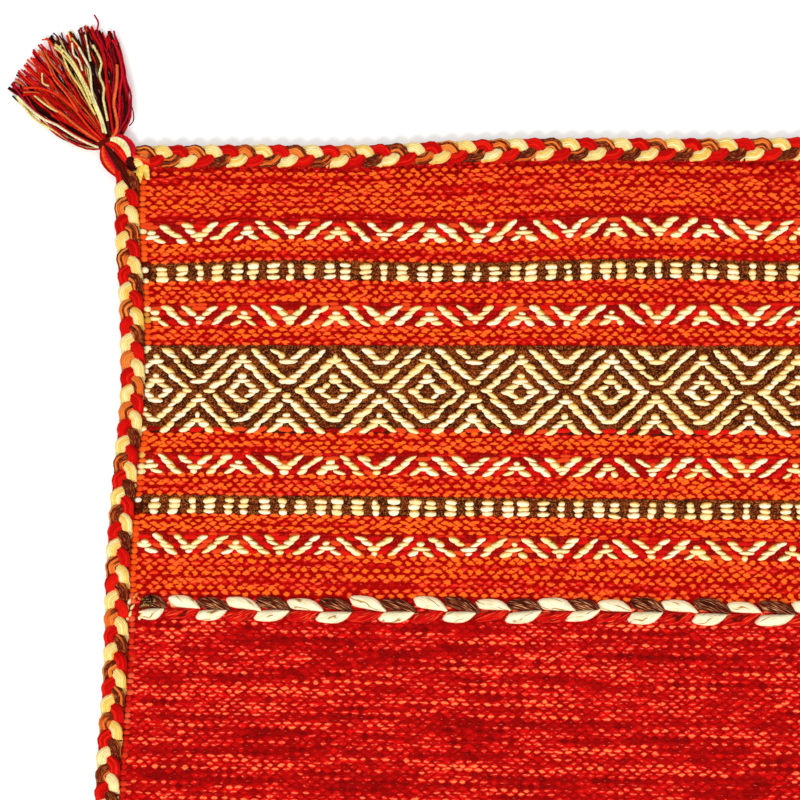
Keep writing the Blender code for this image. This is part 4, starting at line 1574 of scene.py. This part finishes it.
# %% Yarns that lie on top of the skirt
# Dyes, radius in mm, level in the pile from 0 to 1, and its line in mm from the skirt's foot: along
# its axis, then to the right of it.
TOP_YARNS = (
    (CRIMSON, 0.50, 0.8, (
        (-2, -6), (1, -12), (7, -17), (13, -20), (22, -23), (33, -27), (42, -29), (50, -30),
    )),
    (CREAMS, 0.60, 1.0, ((-1, -7), (4, -11), (12, -16), (20, -20), (25, -24), (34, -28), (44, -31))),
    (DARKS, 0.75, 0.6, ((-2, -5), (12, -14), (21, -18), (28, -23), (41, -28), (51, -33))),
    (DARKS, 0.65, 0.5, ((-2, -4), (12, -13), (21, -17), (28, -21), (41, -26), (52, -31))),
    (ORANGES, 0.70, 0.9, ((-1, -4), (16, -12), (22, -14), (30, -18), (39, -20), (44, -27))),
    (REDS, 0.70, 1.0, ((-1, -3), (14, -9), (24, -12), (34, -17), (40, -22), (43, -28))),
    (REDS, 0.60, 1.0, ((0, -3), (10, -6), (22, -8), (33, -12), (42, -19), (46, -26))),
    (REDS, 0.60, 1.0, ((1, -2), (16, -5), (28, -7), (40, -9), (50, -12), (57, -14))),
    (ORANGES, 0.50, 1.0, ((20, -7), (32, -8), (42, -10), (52, -9), (60, -10))),
    (CREAMS, 0.50, 0.9, ((24, -15), (30, -19), (37, -22), (40, -23))),
    (CREAMS, 0.50, 1.0, ((40, -14), (43, -16), (46, -15), (48, -14))),
    (CREAMS, 0.68, 1.0, ((4, -1), (10, 1), (19, 2), (25, 3), (36, 3), (43, 3), (50, 2), (58, -1))),
    (CREAMS, 0.60, 1.0, ((20, 1), (30, 2), (40, 2), (48, 1), (57, -2))),
    (CREAMS, 0.62, 1.0, ((3, 0), (10, 2), (18, 3), (25, 4), (32, 7), (37, 9), (41, 9), (50, 9))),
    (CREAMS, 0.66, 1.0, (
        (8, 4), (14, 6), (20, 8), (24, 11), (28, 11), (32, 12), (35, 15), (38, 16), (47, 16),
    )),
    (CREAMS, 0.55, 1.0, ((14, 0), (24, 0), (30, 0), (38, -1), (45, -1), (51, 0), (56, 1))),
    (CREAMS, 0.52, 1.0, ((40, 11), (44, 12), (50, 14), (54, 15))),
    (CREAMS, 0.52, 1.0, ((38, 5), (44, 6), (48, 5), (54, 7))),
    (DARKS, 0.75, 0.9, ((-1, -1), (11, 3), (23, 6), (31, 9), (39, 11), (45, 12), (55, 17))),
    (DARKS, 0.75, 0.9, ((-1, 0), (11, 5), (23, 9), (31, 13), (39, 14), (45, 17), (53, 21))),
    (REDS, 0.60, 1.0, ((1, 3), (10, 7), (20, 11), (28, 14), (34, 17), (41, 19), (46, 19), (55, 19))),
    (ORANGES, 0.85, 1.0, ((-1, -1), (2, 6), (8, 9), (14, 11), (19, 15), (25, 19), (31, 22))),
    (CRIMSON, 0.50, 1.0, ((36, 17), (44, 20), (52, 21), (56, 24), (61, 24))),
    (CRIMSON, 0.55, 0.9, ((-1, 1), (5, 14), (12, 19), (21, 21), (29, 24), (36, 25), (48, 29))),
    (CRIMSON, 0.55, 0.6, ((-1, 3), (3, 13), (8, 17), (15, 21), (22, 22), (30, 25), (40, 26))),
    (DARKS, 0.30, 0.7, ((13, 16), (9, 18), (5, 17), (2, 15), (1, 12))),
    (CRIMSON, 0.60, 0.9, ((0, 2), (7, 10), (17, 16), (27, 23), (39, 26), (44, 26))),
    (REDS, 0.40, 1.0, ((50, 0), (57, -2), (62, -3), (64, -6))),
    (DARKS, 0.40, 1.0, ((50, 1), (57, 1), (60, 2), (64, 1))),
)
# How far the longest yarns reach, in mm, from the low left of the fan (-1) to its right (1).
FAN_REACH = (
    (-1.0, 50.5), (-0.78, 55.4), (-0.53, 58.4), (-0.19, 64.3), (0.07, 64.0), (0.3, 60.4),
    (0.55, 59.0), (0.8, 52.5), (1.0, 49.5),
)
FAN_FROM = -2.0  # where the yarns start along the skirt's axis, in mm
FAN_FOOT = 4.0  # half the fan's width there, in mm
FAN_LENGTH = 50.0  # and this far along it, in mm,
FAN_SPREAD = (30.0, 25.0)  # how much further out its low left and its right are
SHORTER = 9.0  # the shortest yarns are this much shorter than the longest beside them, in mm
HELD = 15.0  # the tie keeps yarns straight over this many mm
FILL_RADIUS = (0.38, 0.64)
ANY_TURN = (0.0, 6.3)
# How high the pile of yarns stands, in mm, over a distance along the skirt's axis.
PILE_HEIGHT = ((-6, 5.0), (0, 5.6), (6, 7.4), (18, 8.2), (40, 5.6), (55, 3.6), (66, 2.4))
# Which dyes lie where in the fan: up to where, and then the dyes with their shares.
FAN_DYES = (
    (-0.85, (DARKS, CRIMSON, CREAMS), (0.45, 0.4, 0.15)),
    (-0.05, (REDS, DARKS, ORANGES, CRIMSON), (0.6, 0.08, 0.2, 0.12)),
    (0.62, (DARKS, CREAMS, REDS), (0.5, 0.16, 0.34)),
    (1.0, (CRIMSON, REDS, DARKS), (0.5, 0.25, 0.25)),
)


# %% Yarns of a skirt
def smooth_line(points, count):
    """A smooth line through given points, evenly divided."""
    points = np.array(points, dtype=float)
    share = np.linspace(0, len(points) - 1, count)
    slopes = np.gradient(points, axis=0)
    low = np.minimum(share.astype(int), len(points) - 2)
    t = (share - low)[:, None]
    a, b = points[low], points[low + 1]
    ma, mb = slopes[low], slopes[low + 1]
    ends = (2 * t**3 - 3 * t**2 + 1) * a + (t**3 - 2 * t**2 + t) * ma
    return ends + (3 * t**2 - 2 * t**3) * b + (t**3 - t**2) * mb


def pile_height(along):
    return np.interp(along, *zip(*PILE_HEIGHT))


def skirt_yarns():
    """Every yarn of a skirt: points in mm from the skirt's foot, radius in mm and dye."""
    yarns = []
    for number in range(FILL_YARNS):
        aside = 2 * (number + chance.uniform(0.0, 1.0)) / FILL_YARNS - 1
        level = chance.uniform(0.05, 0.85)
        length = np.interp(aside, *zip(*FAN_REACH)) - SHORTER * chance.random() ** 1.6
        along = np.linspace(FAN_FROM, length, 12)
        # The outer yarns bend away sooner than the middle ones, which fan out evenly.
        grown = np.clip(along / FAN_LENGTH, 0.0, 2.0) ** (0.85 - 0.42 * abs(aside))
        across = FAN_FOOT * aside + FAN_SPREAD[int(aside >= 0)] * aside * grown
        wave = chance.uniform(0.4, 1.7) * np.sin(along / chance.uniform(3.0, 6.0) + chance.uniform(*ANY_TURN))
        free = np.clip(along / HELD, 0, 1)
        across += wave * free
        radius = chance.uniform(*FILL_RADIUS)
        height = radius + level * (pile_height(along) - 2 * radius)
        height += 0.5 * np.sin(along / 5 + chance.uniform(*ANY_TURN)) * free
        _, dyes, shares = next(row for row in FAN_DYES if aside < row[0] or row[0] == 1.0)
        dye = choose(dyes[chance.choice(len(dyes), p=shares)])
        yarns.append((np.column_stack((along, across, np.maximum(height, radius))), radius, dye))
    for dyes, radius, level, points in TOP_YARNS:
        flat = smooth_line(points, 14)
        height = radius + level * (pile_height(flat[:, 0]) - radius)
        yarns.append((np.column_stack((flat, height)), radius, choose(dyes)))
    return yarns


print("one skirt has", FILL_YARNS + len(TOP_YARNS), "yarns")

# %% Bundles of the neck and the corner
# Bundles: dyes across it, yarns in it, thickness, and its line: x, y and height in mm from the
# cloth's corner, with the bundle's half width there.
BUNDLES = (
    ((CRIMSON, REDS, ORANGES, REDS), 9, 4.0, (
        (-17.4, 11.5, 4.5, 0.6), (-17.4, 8.5, 4.7, 1.6), (-16.4, 4.5, 4.8, 2.5), (-13.9, 0.6, 4.6, 2.5),
        (-11.2, -2.4, 4.2, 1.8), (-8.6, -5.2, 3.4, 0.8),
    )),
    ((REDS,), 7, 4.0, (
        (-17.2, 12.6, 4.8, 0.6), (-13.0, 11.4, 5.2, 1.3), (-9.2, 8.6, 5.2, 1.8), (-6.4, 4.8, 4.6, 1.6),
        (-4.6, 1.6, 3.6, 0.8),
    )),
    ((CREAMS,), 7, 4.0, (
        (-16.6, 13.6, 4.6, 0.6), (-11.6, 14.0, 5.0, 1.4), (-7.6, 11.6, 5.0, 2.0), (-5.2, 7.4, 4.6, 1.7),
        (-4.4, 3.6, 3.8, 0.8),
    )),
    ((CRIMSON,), 6, 3.2, (
        (-15.6, 14.6, 4.4, 0.5), (-9.6, 15.8, 4.2, 0.9), (-4.8, 13.4, 4.0, 1.2), (-2.4, 8.8, 4.0, 1.4),
        (-3.0, 4.4, 3.6, 0.9),
    )),
    ((DARKS, BROWN), 9, 4.6, (
        (-17.0, 12.0, 4.6, 0.6), (-13.6, 6.8, 4.8, 1.2), (-9.4, 1.6, 5.2, 1.5), (-6.6, -3.4, 5.2, 1.5),
        (-4.2, -7.8, 4.6, 1.3), (-2.6, -12.0, 3.0, 0.7),
    )),
    ((DARKS, REDS), 11, 2.6, (
        (-12.0, 9.0, 2.4, 1.2), (-9.0, 5.0, 2.6, 3.2), (-5.4, 0.6, 2.8, 4.2), (-2.2, -3.6, 2.8, 3.2),
        (0.2, -7.6, 2.6, 1.2),
    )),
    ((DARKS,), 7, 4.4, (
        (-6.2, 5.2, 3.6, 0.8), (-3.6, 3.2, 4.6, 2.2), (-0.6, 1.6, 4.6, 1.9), (1.6, 0.4, 3.6, 0.8),
    )),
    ((ORANGES, REDS), 7, 3.2, (
        (-3.2, 4.6, 3.6, 0.8), (0.0, 4.2, 4.8, 1.5), (4.0, 3.2, 5.0, 1.6), (7.4, 1.4, 4.4, 1.2),
        (9.4, -0.6, 3.2, 0.6),
    )),
    ((GOLDS,), 4, 2.4, (
        (3.4, 1.4, 4.6, 0.8), (2.6, -0.4, 5.4, 1.7), (1.6, -3.4, 5.2, 1.8), (0.8, -7.6, 3.4, 0.7),
    )),
    ((GOLDS,), 4, 2.4, (
        (4.4, 1.2, 4.6, 0.8), (4.6, -0.6, 5.2, 1.6), (5.0, -3.0, 5.0, 1.5), (5.4, -6.0, 3.4, 0.6),
    )),
)
BUNDLE_YARN_RADIUS = 0.62
LAYERS = (-0.3, 0.28)  # heights of a bundle's two layers, in parts of its thickness


def bundle_yarns(dyes, count, thickness, line):
    """Yarns laid side by side and on top of each other along a bundle's line."""
    path = smooth_line(line, 14)
    heading = headings(path[:, :2])
    right_of = np.column_stack((heading[:, 1], -heading[:, 0]))
    swell = (path[:, 3] / path[:, 3].max()) ** 0.5
    yarns = []
    for height in LAYERS:
        across_count = count if height > 0 else max(count - 2, 2)
        for number in range(across_count):
            aside = 2 * (number + 0.5) / across_count - 1
            bow = math.sqrt(max(1 - aside * aside, 0.0))
            flat = path[:, :2] + right_of * (aside * path[:, 3])[:, None]
            rise = path[:, 2] + (height * (0.4 + bow)) * thickness * swell
            rise += chance.normal(0.0, 0.12)
            rise = np.maximum(rise, BUNDLE_YARN_RADIUS)
            dye = dyes[min(int(len(dyes) * number / across_count), len(dyes) - 1)]
            yarns.append((np.column_stack((flat, rise)), BUNDLE_YARN_RADIUS, choose(dye)))
    return yarns


# %% Loose hairs and the tie
# Loose hairs stand off the knots of the corner: middle of each patch, and how far they reach, in mm.
HAIR_PATCHES = ((-5.5, 6.5, 8), (-2.0, 7.5, 6), (-9.0, 1.0, 6), (-15.0, 12.0, 5))
HAIRS_PER_PATCH = 5
HAIR_RADIUS = 0.13
TIE_TURNS = 3
TIE_MIDDLE = np.array((-16.8, 13.2))
TIE_LENGTH = 2.2
TIE_SPREAD = 4.4
TIE_RISE = (3.9, 3.2)  # height of its middle, and how far it goes up and down from there


def loose_hairs():
    """A few fine hairs that stand off each knot."""
    hairs = []
    share = np.linspace(0, 1, 5)[:, None]
    for x, y, reach in HAIR_PATCHES:
        for _ in range(HAIRS_PER_PATCH):
            heading = chance.uniform(0, math.tau)
            ahead = np.array((math.cos(heading), math.sin(heading)))
            straight = ahead * share * reach * chance.uniform(0.5, 1.0)
            curl = np.array((-ahead[1], ahead[0])) * chance.normal(0.0, 2.0) * share**2
            flat = np.array((x, y)) + chance.normal(0.0, 0.8, 2) + straight + curl
            hairs.append((np.column_stack((flat, 5.0 - 1.5 * share)), HAIR_RADIUS, choose(DARKS + CRIMSON)))
    return hairs


def tie_yarn():
    """One dark yarn wound round the neck where the skirt begins."""
    share = np.linspace(0.0, 1.0, 12 * TIE_TURNS + 1)
    angle = share * TIE_TURNS * math.tau
    along = AXIS * ((share - 0.5) * TIE_LENGTH)[:, None]
    flat = TIE_MIDDLE + along + RIGHT_OF_AXIS * (TIE_SPREAD * np.cos(angle))[:, None]
    return np.column_stack((flat, TIE_RISE[0] + TIE_RISE[1] * np.sin(angle)))


# %% Set a tassel at each corner
# Of each part of a tassel: the piece's name, the node it stands for, its slot, and how many
# stations and sides each of its yarns has.
SKIRT = ("tassel_skirt_yarns", "tassel_skirt", "crimson_yarn", 16, 4)
NECK = ("tassel_neck_bundles", "tassel_neck", "plaited_yarn", 10, 4)
BINDING = ("tassel_binding", "tassel_tie", "dark_binding", 60, 5)


def at_corner(flat, side, end):
    """Points in mm from the far left corner, mirrored to another corner, in metres."""
    base = on_cloth(np.array([[side * HALF_WIDTH, end * HALF_LENGTH, 0.0]]))[0]
    return base + np.column_stack((-side * flat[:, 0], end * flat[:, 1], flat[:, 2])) * MM


def grow_yarns(part, yarns, corner_name, side, end):
    piece, node, slot, stations, sides = part
    name = f"{piece}_{corner_name}"
    places, edges, radii, dyes = [], [], [], []
    for points, radius, dye in yarns:
        first = len(places)
        places.extend(at_corner(points, side, end))
        edges.extend((first + i, first + i + 1) for i in range(len(points) - 1))
        radii.extend([radius * MM] * len(points))
        dyes.extend([dye] * len(points))
    lines = points_with(name, places, edges, radius=radii, dye=dyes)
    mesh = grow(name, lines, YARN_TREE, {"Stations": stations, "Sides": sides, "Wool": LOOSE_WOOL})
    return add_piece(name, mesh, slot, f"{node}_{corner_name}")


for end_name, end in ENDS:
    for side_name, side in SIDES:
        skirt = []
        for points, radius, dye in skirt_yarns():
            flat = SKIRT_BASE + points[:, :1] * AXIS + points[:, 1:2] * RIGHT_OF_AXIS
            skirt.append((np.column_stack((flat, points[:, 2])), radius, dye))
        neck = [yarn for bundle in BUNDLES for yarn in bundle_yarns(*bundle)] + loose_hairs()
        tie = [(tie_yarn(), 0.5, choose(DARKS))]
        for part, yarns in ((SKIRT, skirt), (NECK, neck), (BINDING, tie)):
            grow_yarns(part, yarns, f"{end_name}_{side_name}", side, end)

# %% Put the small shapes away
for small in (border_crown, field_crown, plump_float, flat_float, outer_leaf, inner_leaf):
    bpy.data.objects.remove(small)

# %% Finish
total = 0
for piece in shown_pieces():
    if piece.type == "MESH":
        piece.data.calc_loop_triangles()
        total += len(piece.data.loop_triangles)
print("triangles in all:", total)
